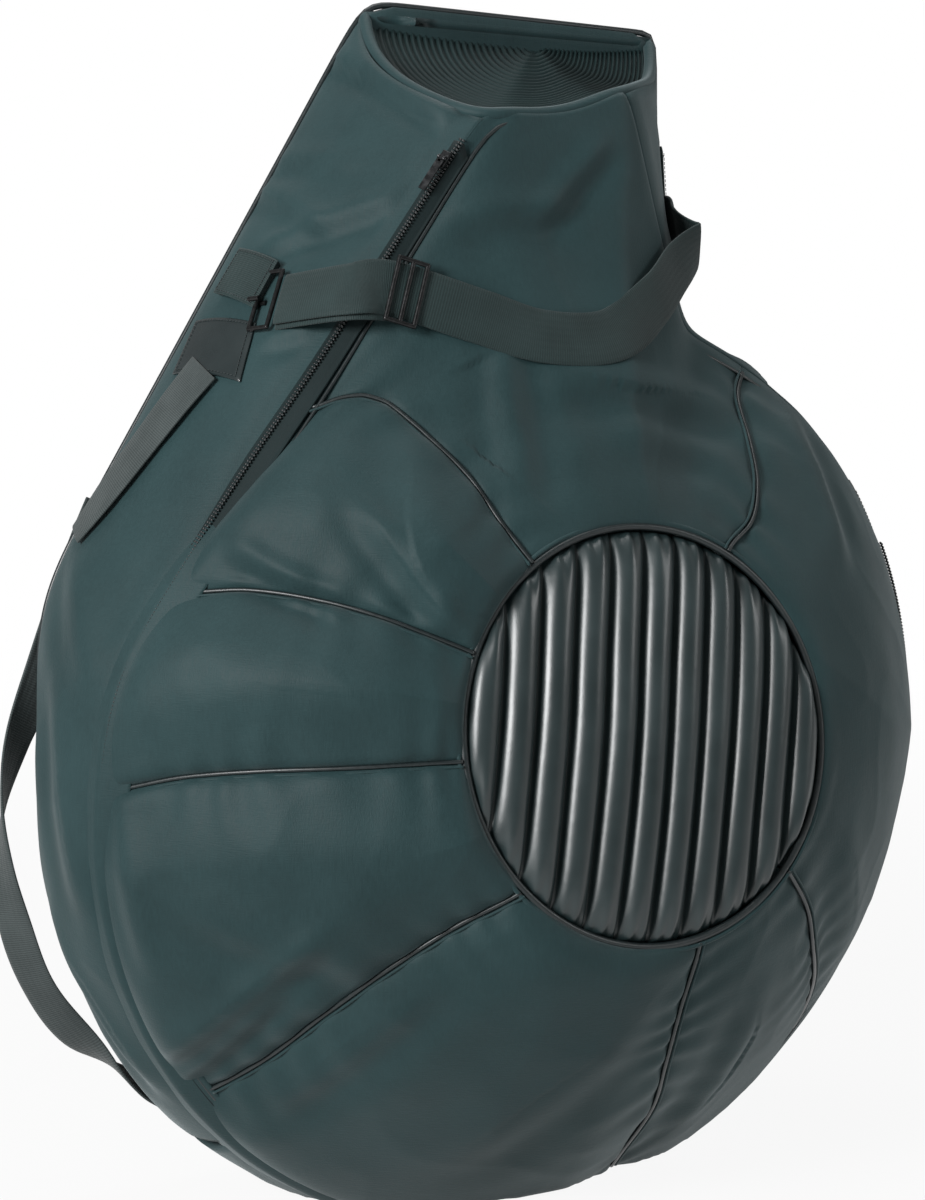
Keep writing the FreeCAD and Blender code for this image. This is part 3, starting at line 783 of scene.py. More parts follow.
@dataclass(frozen=True)
class VinylFinish:
    """Glossy coated vinyl with a fine grain."""

    name: str = "pad_vinyl"
    dark: Row = (0.0080, 0.0165, 0.0175)
    light: Row = (0.0160, 0.0280, 0.0295)
    roughness: float = 0.36
    grain: float = 900.0
    coat: float = 0.15
    gloss: float = 0.55
    cloud_scale: float = 14.0
    spread: Row = (-0.06, 0.09)
    coat_roughness: float = 0.25
    dimple_scale: float = 60.0
    dimple: Row = (0.0006, 0.5)
    grain_bump: Row = (0.00012, 0.5)

    def build(self) -> bpy.types.Material:
        """Make the material."""
        n = Nodes(self.name)
        where = n.coordinates()
        cloud = n.noise(where, self.cloud_scale, 4.0, 0.6)
        fine = n.noise(where, self.grain, 2.0)
        n.settle(Coat_Weight=self.coat, Coat_Roughness=self.coat_roughness,
                 Specular_IOR_Level=self.gloss)
        under = n.bump(n.noise(where, self.dimple_scale, 3.0), *self.dimple)
        return n.finish(n.tones(cloud, self.dark, self.light),
                        n.range(cloud, *(self.roughness + s for s in self.spread)),
                        n.bump(fine, *self.grain_bump, under))


@dataclass(frozen=True)
class WebbingFinish:
    """Heavy nylon webbing, with cross ribs and faint lengthwise lines."""

    name: str = "strap_webbing"
    dark: Row = (0.0060, 0.0150, 0.0150)
    light: Row = (0.0150, 0.0310, 0.0310)
    rib: float = 0.0019
    lines: float = 0.0062
    fuzz_scale: float = 700.0
    cloud_scale: float = 22.0
    cloud_share: float = 0.65
    roughness: Row = (0.52, 0.74)
    sheen: float = 0.12
    specular: float = 0.22
    line_bump: Row = (0.0004, 0.35)
    rib_bump: Row = (0.0005, 0.8)

    def build(self) -> bpy.types.Material:
        """Make the material."""
        n = Nodes(self.name)
        where = n.coordinates(True)
        ribs = n.wave(where, WAVE_RUN / self.rib, "X")
        lines = n.wave(where, WAVE_RUN / self.lines, "Y")
        fuzz = n.noise(where, self.fuzz_scale, 2.0)
        cloud = n.noise(where, self.cloud_scale, 3.0)
        mixed = n.blend(ribs, cloud, self.cloud_share)
        n.settle(Sheen_Weight=self.sheen, Specular_IOR_Level=self.specular)
        under = n.bump(lines, *self.line_bump)
        return n.finish(n.tones(mixed, self.dark, self.light), n.range(fuzz, *self.roughness),
                        n.bump(n.maths("MULTIPLY", ribs, fuzz), *self.rib_bump, under))


@dataclass(frozen=True)
class CoatedFinish:
    """Hard smooth finish for wire, slider, coil and piping, with slight wear."""

    name: str
    dark: Row
    light: Row
    roughness: float
    metallic: float = 0.0
    scratch: float = 240.0
    spread: Row = (-0.07, 0.12)
    tone_ends: Row = (0.4, 0.75)
    wear: Row = (0.0001, 0.4)

    def build(self) -> bpy.types.Material:
        """Make the material."""
        n = Nodes(self.name)
        spots = n.noise(n.coordinates(), self.scratch, 4.0, 0.65)
        n.settle(Metallic=self.metallic)
        return n.finish(n.tones(spots, self.dark, self.light, *self.tone_ends),
                        n.range(spots, *(self.roughness + s for s in self.spread)),
                        n.bump(spots, *self.wear))


@dataclass(frozen=True)
class FloorFinish:
    """Plain white floor that keeps the object's shadow."""

    name: str = "white_floor"
    base: Row = (0.50, 0.50, 0.50, 1.0)
    roughness: float = 0.9
    specular: float = 0.1
    lift: float = 0.92
    near: float = 0.9
    far: float = 2.6

    def build(self) -> bpy.types.Material:
        """Make the material: matt white, lifted toward white where it is seen."""
        n = Nodes(self.name)
        n.settle(Base_Color=self.base, Roughness=self.roughness,
                 Specular_IOR_Level=self.specular)
        glow = n.add("ShaderNodeEmission", Strength=1.0)
        paths = n.add("ShaderNodeLightPath")
        seen = n.maths("MAXIMUM", paths.outputs["Is Camera Ray"],
                       n.maths("MAXIMUM", paths.outputs["Is Glossy Ray"],
                               paths.outputs["Is Transmission Ray"]))
        away = n.add("ShaderNodeVectorMath", operation="LENGTH")
        n.wire(n.coordinates(), away.inputs[0])
        fade = n.add("ShaderNodeMapRange", interpolation_type="SMOOTHSTEP")
        for name, value in (("From Min", self.near), ("From Max", self.far),
                            ("To Min", self.lift), ("To Max", 1.0)):
            fade.inputs[name].default_value = value
        n.wire(away.outputs["Value"], fade.inputs["Value"])
        share = n.maths("MULTIPLY", seen, fade.outputs["Result"])
        both = n.add("ShaderNodeMixShader")
        n.wire(share, both.inputs["Fac"])
        n.wire(n.shader.outputs["BSDF"], both.inputs[1])
        n.wire(glow.outputs["Emission"], both.inputs[2])
        n.wire(both.outputs["Shader"], n.tree.nodes["Material Output"].inputs["Surface"])
        return n.material


@dataclass
class Finishes:
    """Every finish of the bag, made once."""

    def __post_init__(self) -> None:
        """Build the materials."""
        self.cloth = ClothFinish().build()
        self.tape = ClothFinish("zip_tape_cloth", (0.0030, 0.0085, 0.0090),
                                (0.0060, 0.0150, 0.0160), 0.7, 0.05, True, 0.0009).build()
        self.vinyl = VinylFinish().build()
        self.cap = VinylFinish("cap_vinyl", (0.0030, 0.0110, 0.0115), (0.0070, 0.0200, 0.0205),
                               0.62, 900.0, 0.0, 0.22).build()
        # Right patch: grey vinyl with painted light, drawn far lighter than the left patch to stand
        # for the lamp on the right side
        self.patch = VinylFinish("patch_vinyl_painted_light", (0.075, 0.085, 0.082), (0.130, 0.140, 0.134),
                                 0.33, 700.0).build()
        self.dark_patch = VinylFinish("dark_patch_vinyl", (0.0060, 0.0110, 0.0120),
                                      (0.0140, 0.0210, 0.0220), 0.26, 700.0).build()
        self.webbing = WebbingFinish().build()
        self.pale_webbing = WebbingFinish("side_webbing", (0.022, 0.030, 0.030),
                                          (0.050, 0.062, 0.062)).build()
        self.piping = CoatedFinish("piping_vinyl", (0.0060, 0.0105, 0.0115),
                                   (0.0120, 0.0190, 0.0200), 0.36).build()
        self.coil = CoatedFinish("zip_coil_nylon", (0.0060, 0.0085, 0.0090),
                                 (0.0150, 0.0190, 0.0200), 0.40).build()
        self.wire = CoatedFinish("coated_wire", (0.0120, 0.0125, 0.0130),
                                 (0.0300, 0.0310, 0.0320), 0.32, 0.7).build()
        self.slider = CoatedFinish("slider_metal", (0.0160, 0.0170, 0.0180),
                                   (0.0500, 0.0520, 0.0540), 0.30, 0.85).build()
        self.thread = CoatedFinish("sewing_thread", (0.010, 0.016, 0.017),
                                   (0.030, 0.042, 0.044), 0.6).build()


def dress(piece: bpy.types.Object, material: bpy.types.Material, body: Body, slot: Slot,
          *nodes: str) -> bpy.types.Object:
    """Give a piece its finish and its body, and hide the CAD nodes that it stands for.

    Args:
        piece: The piece.
        material: Its finish.
        body: The body that it rides on.
        slot: The record's slot that it takes; not used.
        *nodes: CAD nodes that it replaces.

    Returns:
        The piece.
    """
    piece.data.materials.clear()
    piece.data.materials.append(material)
    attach(piece, body.value)
    if nodes:
        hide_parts(*nodes)
    log.info("%s rides on %s", piece.name, body.value)
    return piece


# Shell


@dataclass(frozen=True)
class Crease:
    """Long soft fold in the cloth, with a valley along its lower side."""

    start: Vector
    end: Vector
    height: float
    width: float
    past: float = 0.3
    fade: float = 0.5
    reach: float = 4.0
    valley: float = 0.9
    valley_place: float = 1.5

    def lift(self, point: Vector) -> float:
        """Height that the fold adds at a point."""
        along = self.end - self.start
        share = (point - self.start).dot(along) / along.length_squared
        if not -self.past < share < 1 + self.past:
            return 0.0
        here = self.start + along * share
        away = (point - here).length
        if away > self.reach * self.width:
            return 0.0
        side = (away if point.z < here.z else -away) / self.width
        taper = ease((share + self.past) / self.fade) * ease((1 + self.past - share) / self.fade)
        low = self.valley * math.exp(-(side - self.valley_place) ** 2)
        return self.height * taper * (math.exp(-side ** 2) - low)


def creases_on(place: Place, rows: Sequence[Row]) -> list[Crease]:
    """Creases that run between pairs of places on a surface.

    Args:
        place: The surface's function.
        rows: Angle and share of the start, angle and share of the end, height and width.

    Returns:
        The creases.
    """
    return [Crease(place(math.radians(a), s), place(math.radians(b), t), height, width)
            for a, s, b, t, height, width in rows]


def fold(point: Vector, scale: float, height: float, seed: float) -> float:
    """Soft creases of slack fabric, as a height.

    Args:
        point: Point on the surface.
        scale: How many waves go into a metre, about.
        height: Height of the creases.
        seed: Moves the pattern, so that two pieces differ.

    Returns:
        The height there, above or below zero.
    """
    value = noise.noise(point * scale + Vector((seed, seed * 0.7, seed * 1.3)))
    ridge = 1.0 - abs(noise.noise(point * scale * 0.6 + Vector((seed * 2, 5.0, seed))))
    return height * (0.6 * value + 0.8 * (ridge ** 4 - 0.5))


def above_floor(point: Vector, near_seam: bool = False) -> Vector:
    """Point kept over the floor, and higher near the seam where the flap lies under it."""
    point.z = max(point.z, FLAP_ROOM if near_seam else FLOOR_ROOM)
    return point


@dataclass
class Shell:
    """Back panel and gussets, with the cap of the neck."""

    finishes: Finishes
    wall: float = 0.009
    puff: float = 0.0045
    crease_gain: float = 1.4
    bottom_left: float = math.radians(226.0)
    bottom_right: float = math.radians(314.0)
    seam_width: float = 0.008
    sink: float = 0.0012
    calm: float = 0.035
    crease_calm: float = 0.014
    wave: Row = (6.0, 0.0038, 3.0)
    crinkle: Row = (21.0, 0.0012, 8.0)
    zip_side: float = 0.017
    gusset_rows: int = 48
    gusset_columns: tuple[int, int, int] = (240, 60, 190)
    gusset_fill: float = 0.45
    back_middle: Row = (0.0, 0.0, 0.50)
    back_turn: float = 0.3
    back_bulge: float = 0.008
    back_power: int = 6
    back_calm: float = 6.0
    back_wave: Row = (7.0, 0.0016, 12.0)
    back_grid: tuple[int, int] = (150, 34)
    back_fill: float = 0.35
    cord_points: int = 520
    cord_radius: float = 0.0030
    cord_out: float = 0.0010
    cord_front: float = 0.0022
    cord_floor: float = 0.0032
    cap_dish: float = 0.020
    cap_ribs: int = 27
    cap_middle: float = 0.60
    cap_shift: Row = (0.0, -0.002, -0.001)
    cap_normal: Row = (0.05, -0.42, 0.90)
    cap_reach: float = 0.985
    cap_start: float = 0.12
    cap_ends: Row = (0.03, 0.97)
    cap_powers: Row = (0.7, 0.6)
    cap_sink: float = 0.0030
    cap_thick: float = 0.002
    cap_fill: float = 0.3
    rib_height: float = 0.0034
    rib_fade: float = 9.0
    rib_rows: int = 8
    rim_radius: float = 0.0062
    rim_points: int = 121
    rim_rounding: float = 0.22
    rim_middle: Row = (0.07, -0.08, 1.05)
    rim_lift: float = -0.0035
    rim_back: int = 12
    rim_back_shift: float = 0.004
    welt_lift: float = 0.0012
    welt_drop: float = 0.0125
    welt_radius: float = 0.0021
    creases: tuple[Row, ...] = (
        (99.3, 0.05, 98.6, 0.85, 0.0050, 0.010), (106.5, 0.05, 105.0, 0.55, 0.0028, 0.011),
        (109.0, 0.05, 109.6, 0.62, 0.0040, 0.012), (113.2, 0.38, 104.8, 0.86, 0.0042, 0.013),
        (121.0, 0.70, 117.0, 0.90, 0.0025, 0.010), (152.0, 0.35, 163.0, 0.80, 0.0030, 0.022),
        (167.0, 0.57, 189.5, 0.86, 0.0040, 0.024), (196.0, 0.45, 214.0, 0.80, 0.0040, 0.018),
        (60.0, 0.75, 56.0, 0.40, 0.0035, 0.016), (45.0, 0.85, 38.0, 0.50, 0.0030, 0.018),
        (-12.0, 0.80, -30.0, 0.55, 0.0030, 0.020), (30.0, 0.30, 12.0, 0.12, 0.0030, 0.018))

    def __post_init__(self) -> None:
        """Lay the gusset's creases."""
        self.folds = creases_on(FORM.gusset, self.creases)

    def surface(self, angle: float, share: float) -> Vector:
        """Point of the padded gusset, drawn in at its two seams."""
        base = FORM.gusset(angle, share)
        out = FORM.out(FORM.gusset, angle, share)
        depth = abs(FORM.front_point(FORM.matched(angle)).y)
        bare = FORM.bare(angle) if share > 0.5 else 0.0
        edge = max(0.0, min(share, 1 - share) * depth - bare)
        lift = self.puff * swell(edge, self.seam_width) - self.sink
        lift += ease(edge / self.calm) * (fold(base, *self.wave) + fold(base, *self.crinkle))
        crease = sum(c.lift(base) for c in self.folds)
        lift += ease(edge / self.crease_calm) * self.crease_gain * crease
        near = share > 0.5 and (1 - share) * depth < self.zip_side
        return above_floor(base + out * lift, near)

    def gusset(self, name: str, start: float, end: float, columns: int) -> bpy.types.Object:
        """Make one length of the gusset.

        Args:
            name: Name of the piece and of the node that it stands for.
            start: Angle where it starts.
            end: Angle where it ends.
            columns: Faces along it.

        Returns:
            The piece.
        """
        def place(u: float, w: float) -> Vector:
            first, last = start, end
            if start > FORM.back_keys[2]:
                first += FORM.sag_angle(w, FORM.left_sag)
            if end == FORM.back_keys[2]:
                last -= FORM.sag_angle(w, FORM.rim_sag)
            return self.surface(mix(first, last, u), w)

        mesh = mapped_grid(columns, self.gusset_rows, place)
        face_away(mesh)
        piece = new_object("cloth_" + name, mesh)
        thicken(piece, self.wall)
        dress(piece, self.finishes.cloth, Body.SHELL, Slot.NYLON, name)
        return piece

    def build_gussets(self) -> None:
        """Make the left, bottom and right gussets."""
        left_corner, right_corner = FORM.back_keys[3], FORM.back_keys[2]
        left, bottom, right = self.gusset_columns
        self.gusset("gusset_left", left_corner, self.bottom_left, left)
        self.gusset("gusset_bottom", self.bottom_left, self.bottom_right, bottom)
        self.gusset("gusset_right", self.bottom_right - 2 * math.pi, right_corner, right)

    def build_back(self) -> None:
        """Make the back panel, slightly crowned, and the piping round it."""
        middle = Vector(self.back_middle)

        def place(u: float, w: float) -> Vector:
            point = middle.lerp(FORM.back_point(2 * math.pi * u + self.back_turn), w)
            rise = self.back_bulge * (1 - w ** self.back_power)
            rise += ease((1 - w) * self.back_calm) * fold(point, *self.back_wave)
            return above_floor(Vector((point.x, rise, point.z)))

        mesh = mapped_grid(*self.back_grid, place)
        weld(mesh)
        face_away(mesh)
        piece = new_object("cloth_back_panel", mesh)
        thicken(piece, self.wall)
        dress(piece, self.finishes.cloth, Body.SHELL, Slot.NYLON, "back_panel")
        points = []
        for angle in turn_angles(self.cord_points):
            point = FORM.back_point(angle)
            side = (point - Vector((0, 0, BAG_MIDDLE.z))).normalized()
            point += side * self.cord_out - Vector((0, self.cord_front, 0))
            point.z = max(point.z, self.cord_floor)
            points.append(point)
        piping = cord_tube("cord_back_piping", points, self.cord_radius, True)
        dress(piping, self.finishes.piping, Body.SHELL, Slot.PIPING, "back_piping")

    def rim_point(self, share: float) -> Vector:
        """Point of the rim, from the back's left corner round the front to the right one."""
        left, right = FORM.back_keys[3], FORM.back_keys[2]
        if share < 1 / 3:
            w = 3 * share
            return FORM.gusset(left + FORM.sag_angle(w, FORM.left_sag), w)
        if share > 2 / 3:
            w = 3 * (1 - share)
            return FORM.gusset(right - FORM.sag_angle(w, FORM.rim_sag), w)
        w = 3 * share - 1
        angle = mix(FORM.front_keys[3], FORM.front_keys[2], w)
        return FORM.dome(angle, FORM.top_share(angle))

    def rim(self, lift: float, down: float) -> list[Vector]:
        """Points of the rim, rounded at its corners.

        Args:
            lift: How far they stand off the neck.
            down: How far they hang below the rim.

        Returns:
            The points.
        """
        last = self.rim_points - 1
        raw = [self.rim_point(i / last) for i in range(last + 1)]
        for _ in range(round(self.rim_points * self.rim_rounding)):
            raw = [raw[0]] + [(raw[i - 1] + 2 * raw[i] + raw[i + 1]) / 4
                              for i in range(1, last)] + [raw[-1]]
        points = []
        for point in raw:
            away = point - Vector(self.rim_middle)
            away.z = 0
            points.append(point + away.normalized() * lift - Vector((0, 0, down)))
        return points

    def build_cap(self) -> None:
        """Make the dished, ribbed cap, its rolled rim and the welt under the rim."""
        rim = self.rim(0.0, 0.0)
        start, end = rim[0], rim[-1]
        spans = len(rim) - 1
        centre = start.lerp(end, self.cap_middle) + Vector(self.cap_shift)
        normal = Vector(self.cap_normal).normalized()

        def along_rim(u: float) -> Vector:
            place = u * spans
            low = min(spans - 1, int(place))
            return rim[low].lerp(rim[low + 1], place - low)

        def panel(u: float, w: float) -> Vector:
            point = centre.lerp(along_rim(u), w * self.cap_reach)
            dish = math.sin(math.pi * min(1.0, mix(self.cap_start, 1.0, w))) ** self.cap_powers[0]
            dish *= math.sin(math.pi * mix(*self.cap_ends, u)) ** self.cap_powers[1]
            rib = abs(math.sin(math.pi * w * self.cap_ribs))
            rib *= ease((1 - w) * self.rib_fade) * ease(w * self.rib_fade)
            return point - normal * (self.cap_dish * dish + self.cap_sink - self.rib_height * rib)

        mesh = mapped_grid(spans, self.cap_ribs * self.rib_rows, panel)
        weld(mesh)
        face_away(mesh)
        piece = new_object("ribbed_cap", mesh)
        thicken(piece, self.cap_thick)
        dress(piece, self.finishes.cap, Body.SHELL, Slot.VINYL, "top_cap")
        shift = Vector((0, -self.rim_back_shift, 0))
        back = [end.lerp(start, k / self.rim_back) + shift for k in range(1, self.rim_back)]
        tube = cord_tube("rolled_rim", self.rim(self.rim_lift, 0.0) + back, self.rim_radius, True)
        dress(tube, self.finishes.cloth, Body.SHELL, Slot.VINYL, "rim_piping")
        line = cord_tube("rim_welt", self.rim(self.welt_lift, self.welt_drop), self.welt_radius)
        dress(line, self.finishes.piping, Body.SHELL, Slot.VINYL)

    def build(self) -> None:
        """Make every piece of the shell."""
        self.build_gussets()
        self.build_back()
        self.build_cap()


# Dome


@dataclass(frozen=True)
class Seam:
    """Seam between two gores: its angle round the pad's middle at some shares of the way in."""

    shares: Row
    angles: Row

    def angle(self, share: float) -> float:
        """Angle of the seam at a share of the way from the front's edge to the pad."""
        final = len(self.shares) - 1
        i = next((k for k in range(final) if share <= self.shares[k + 1]), final - 1)
        part = clamp((share - self.shares[i]) / (self.shares[i + 1] - self.shares[i]))
        return math.radians(curve(self.angles[max(i - 1, 0)], self.angles[i], self.angles[i + 1],
                                  self.angles[min(i + 2, final)], part))


@dataclass(frozen=True)
class Gore:
    """One sewn panel of the dome: its node, its two seams and how it is filled."""

    node: str
    first: Seam
    last: Seam
    puff: float
    fill: float
    columns: int


EVEN_SHARES = (0.0, 0.2, 0.4, 0.6, 0.8, 1.0)
SEAM_1 = Seam((0.0, 0.06, 0.12, 0.18, 0.26, 0.40, 0.64, 0.82, 1.0),
              (131.5, 129.5, 126.0, 123.5, 121.8, 120.8, 119.8, 121.2, 121.8))
SEAM_2 = Seam(EVEN_SHARES, (160.5, 156.8, 154.6, 153.4, 152.9, 152.5))
SEAM_3 = Seam(EVEN_SHARES, (185.6, 183.3, 182.0, 181.4, 181.0, 180.8))
SEAM_4 = Seam(EVEN_SHARES, (224.5, 223.2, 220.2, 217.9, 217.2, 219.0))
SEAM_5 = Seam(EVEN_SHARES, (280.5, 279.5, 279.5, 277.6, 277.2, 279.4))
SEAM_6 = Seam(EVEN_SHARES, (309.5, 311.0, 311.5, 312.0, 314.2, 314.6))
SEAM_7 = Seam(EVEN_SHARES, (412.5, 414.3, 412.2, 410.2, 410.3, 415.0))
SEAM_7_TOP = Seam(EVEN_SHARES, (52.5, 54.3, 52.2, 50.2, 50.3, 55.0))


@dataclass
class Dome:
    """The front: seven gores that meet at piped seams."""

    finishes: Finishes
    wall: float = 0.009
    rows: int = 90
    crease_gain: float = 1.5
    seam_width: float = 0.006
    broad_width: float = 0.080
    broad_share: float = 0.58
    start: float = 0.001
    edge_width: float = 0.014
    ring_width: float = 0.012
    ring_least: float = 0.15
    wave: Row = (6.0, 0.0046)
    wave_seed: float = 900.0
    crinkle: Row = (20.0, 0.0012, 4.0)
    wave_calm: Row = (0.03, 0.03, 0.03)
    crease_calm: Row = (0.016, 0.016, 0.012)
    pucker: float = 0.0019
    pucker_width: float = 0.030
    pucker_calm: Row = (0.006, 0.02, 0.02)
    pucker_turn: float = 180.0
    pucker_drift: Row = (6.0, 9.0)
    sink: float = 0.0020
    zip_side: float = 0.022
    welts: tuple[tuple[str, float, float], ...] = (("seam_cord", 0.0, 0.0021),
                                                   ("seam_edge", 0.0044, 0.0013))
    welt_points: int = 90
    welt_ends: Row = (0.055, 0.992)
    welt_lift: float = 0.0012
    welt_slope: float = 0.25
    edge_points: int = 300
    edge_place: float = 0.0185
    edge_lift: float = 0.0016
    edge_radius: float = 0.0019
    gores: tuple[Gore, ...] = (
        Gore("gore_upper_left", SEAM_1, SEAM_2, 0.0275, 0.7, 90),
        Gore("gore_left", SEAM_2, SEAM_3, 0.0260, 0.7, 80),
        Gore("gore_lower_left", SEAM_3, SEAM_4, 0.0260, 0.7, 100),
        Gore("gore_bottom", SEAM_4, SEAM_5, 0.0185, 0.6, 120),
        Gore("gore_lower_right", SEAM_5, SEAM_6, 0.0110, 0.5, 60),
        Gore("gore_right", SEAM_6, SEAM_7, 0.0105, 0.5, 150),
        Gore("neck_front", SEAM_7_TOP, SEAM_1, 0.0100, 0.4, 150),
    )
    creases: tuple[Row, ...] = (
        (101.0, 0.13, 89.0, 0.27, 0.0040, 0.016), (84.0, 0.13, 92.0, 0.27, 0.0036, 0.014),
        (94.0, 0.66, 58.0, 0.30, 0.0050, 0.020), (152.3, 0.14, 154.6, 0.44, 0.0045, 0.012),
        (139.0, 0.42, 150.0, 0.88, 0.0040, 0.014), (124.5, 0.40, 146.0, 0.80, 0.0020, 0.020),
        (186.5, 0.06, 205.0, 0.10, 0.0030, 0.016), (200.0, 0.25, 214.0, 0.55, 0.0028, 0.022),
        (170.0, 0.30, 168.0, 0.75, 0.0020, 0.026), (228.0, 0.20, 224.0, 0.60, 0.0032, 0.018),
        (217.0, 0.04, 208.0, 0.45, 0.0035, 0.014), (221.0, 0.03, 215.0, 0.30, 0.0030, 0.009),
        (288.0, 0.25, 296.0, 0.65, 0.0028, 0.020), (318.0, 0.35, 330.0, 0.75, 0.0030, 0.024),
        (44.0, 0.20, 30.0, 0.55, 0.0036, 0.022), (64.0, 0.55, 84.0, 0.80, 0.0026, 0.022),
        (102.0, 0.50, 112.0, 0.80, 0.0028, 0.018), (250.0, 0.30, 262.0, 0.75, 0.0024, 0.030))

    def __post_init__(self) -> None:
        """Lay the front's creases."""
        self.folds = creases_on(FORM.ray, self.creases)

    def surface(self, gore: Gore, u: float, w: float) -> Vector:
        """Point of a gore's padded face."""
        if gore.node == "neck_front":
            angle = mix(gore.first.angle(w), gore.last.angle(w), u)
            top = FORM.top_share(FORM.ray_angle(angle, w))
            w = top + (1 - top) * w
        angle = mix(gore.first.angle(w), gore.last.angle(w), u)
        turned = FORM.ray_angle(angle, w)
        base = FORM.dome(turned, w)
        out = FORM.out(FORM.dome, turned, w)
        long = FORM.front_length(turned)
        reach = math.hypot(base.x, base.z - FORM.pad_height)
        side = min(u, 1 - u) * (gore.last.angle(w) - gore.first.angle(w)) * reach
        edge = max(0.0, w * long - FORM.bare(turned))
        ring = (1 - w) * long
        away = (side, edge, ring)
        lift = gore.puff * mix(swell(side, self.seam_width), ease(side / self.broad_width),
                               self.broad_share)
        lift *= swell(edge + self.start, self.edge_width)
        lift *= mix(self.ring_least, 1.0, swell(ring + self.start, self.ring_width))
        waves = fold(base, *self.wave, gore.puff * self.wave_seed) + fold(base, *self.crinkle)
        lift += clear_of(away, self.wave_calm) * waves
        crease = sum(c.lift(base) for c in self.folds)
        lift += clear_of(away, self.crease_calm) * self.crease_gain * crease
        drift, drift_scale = self.pucker_drift
        way = reach * self.pucker_turn + drift * noise.noise(base * drift_scale)
        pull = math.exp(-side / self.pucker_width) * clear_of(away, self.pucker_calm)
        lift += pull * self.pucker * math.sin(way)
        return above_floor(base + out * (lift - self.sink), w * long < self.zip_side)

    def build_gore(self, gore: Gore) -> bpy.types.Object:
        """Make one gore."""
        mesh = mapped_grid(gore.columns, self.rows, lambda u, w: self.surface(gore, u, w))
        face_away(mesh)
        piece = new_object("cloth_" + gore.node, mesh)
        thicken(piece, self.wall)
        dress(piece, self.finishes.cloth, Body.LID, Slot.NYLON, gore.node)
        return piece

    def seam_points(self, seam: Seam, side: float) -> list[Vector]:
        """Points of a line that runs beside a seam, on the dome.

        Args:
            seam: The seam.
            side: Distance of the line from it.

        Returns:
            The points, from the front's edge to the pad.
        """
        points = []
        for k in range(self.welt_points):
            share = mix(*self.welt_ends, k / (self.welt_points - 1))
            angle = seam.angle(share)
            base = FORM.ray(angle, share)
            reach = math.hypot(base.x, base.z - FORM.pad_height)
            turned = FORM.ray_angle(angle + side / reach, share)
            rise = FORM.out(FORM.dome, turned, share) * (self.welt_lift + self.welt_slope * side)
            points.append(above_floor(FORM.dome(turned, share) + rise, True))
        return points

    def build_welts(self) -> None:
        """Make the piping in the seams between the gores and round the front's edge."""
        for i, gore in enumerate(self.gores):
            for name, side, radius in self.welts:
                welt = cord_tube(f"{name}_{i + 1}", self.seam_points(gore.first, side), radius)
                nodes = ("gore_piping",) if i == 0 and side == 0.0 else ()
                finish = self.finishes.piping if side == 0.0 else self.finishes.cloth
                dress(welt, finish, Body.LID, Slot.PIPING, *nodes)
        edge = []
        for angle in turn_angles(self.edge_points):
            share = self.edge_place / FORM.front_length(angle)
            rise = FORM.out(FORM.dome, angle, share) * self.edge_lift
            edge.append(above_floor(FORM.dome(angle, share) + rise, True))
        border = cord_tube("front_edge_cord", edge, self.edge_radius, True)
        dress(border, self.finishes.piping, Body.LID, Slot.PIPING, "seam_piping")

    def build(self) -> None:
        """Make every gore and its welts."""
        for gore in self.gores:
            self.build_gore(gore)
        self.build_welts()


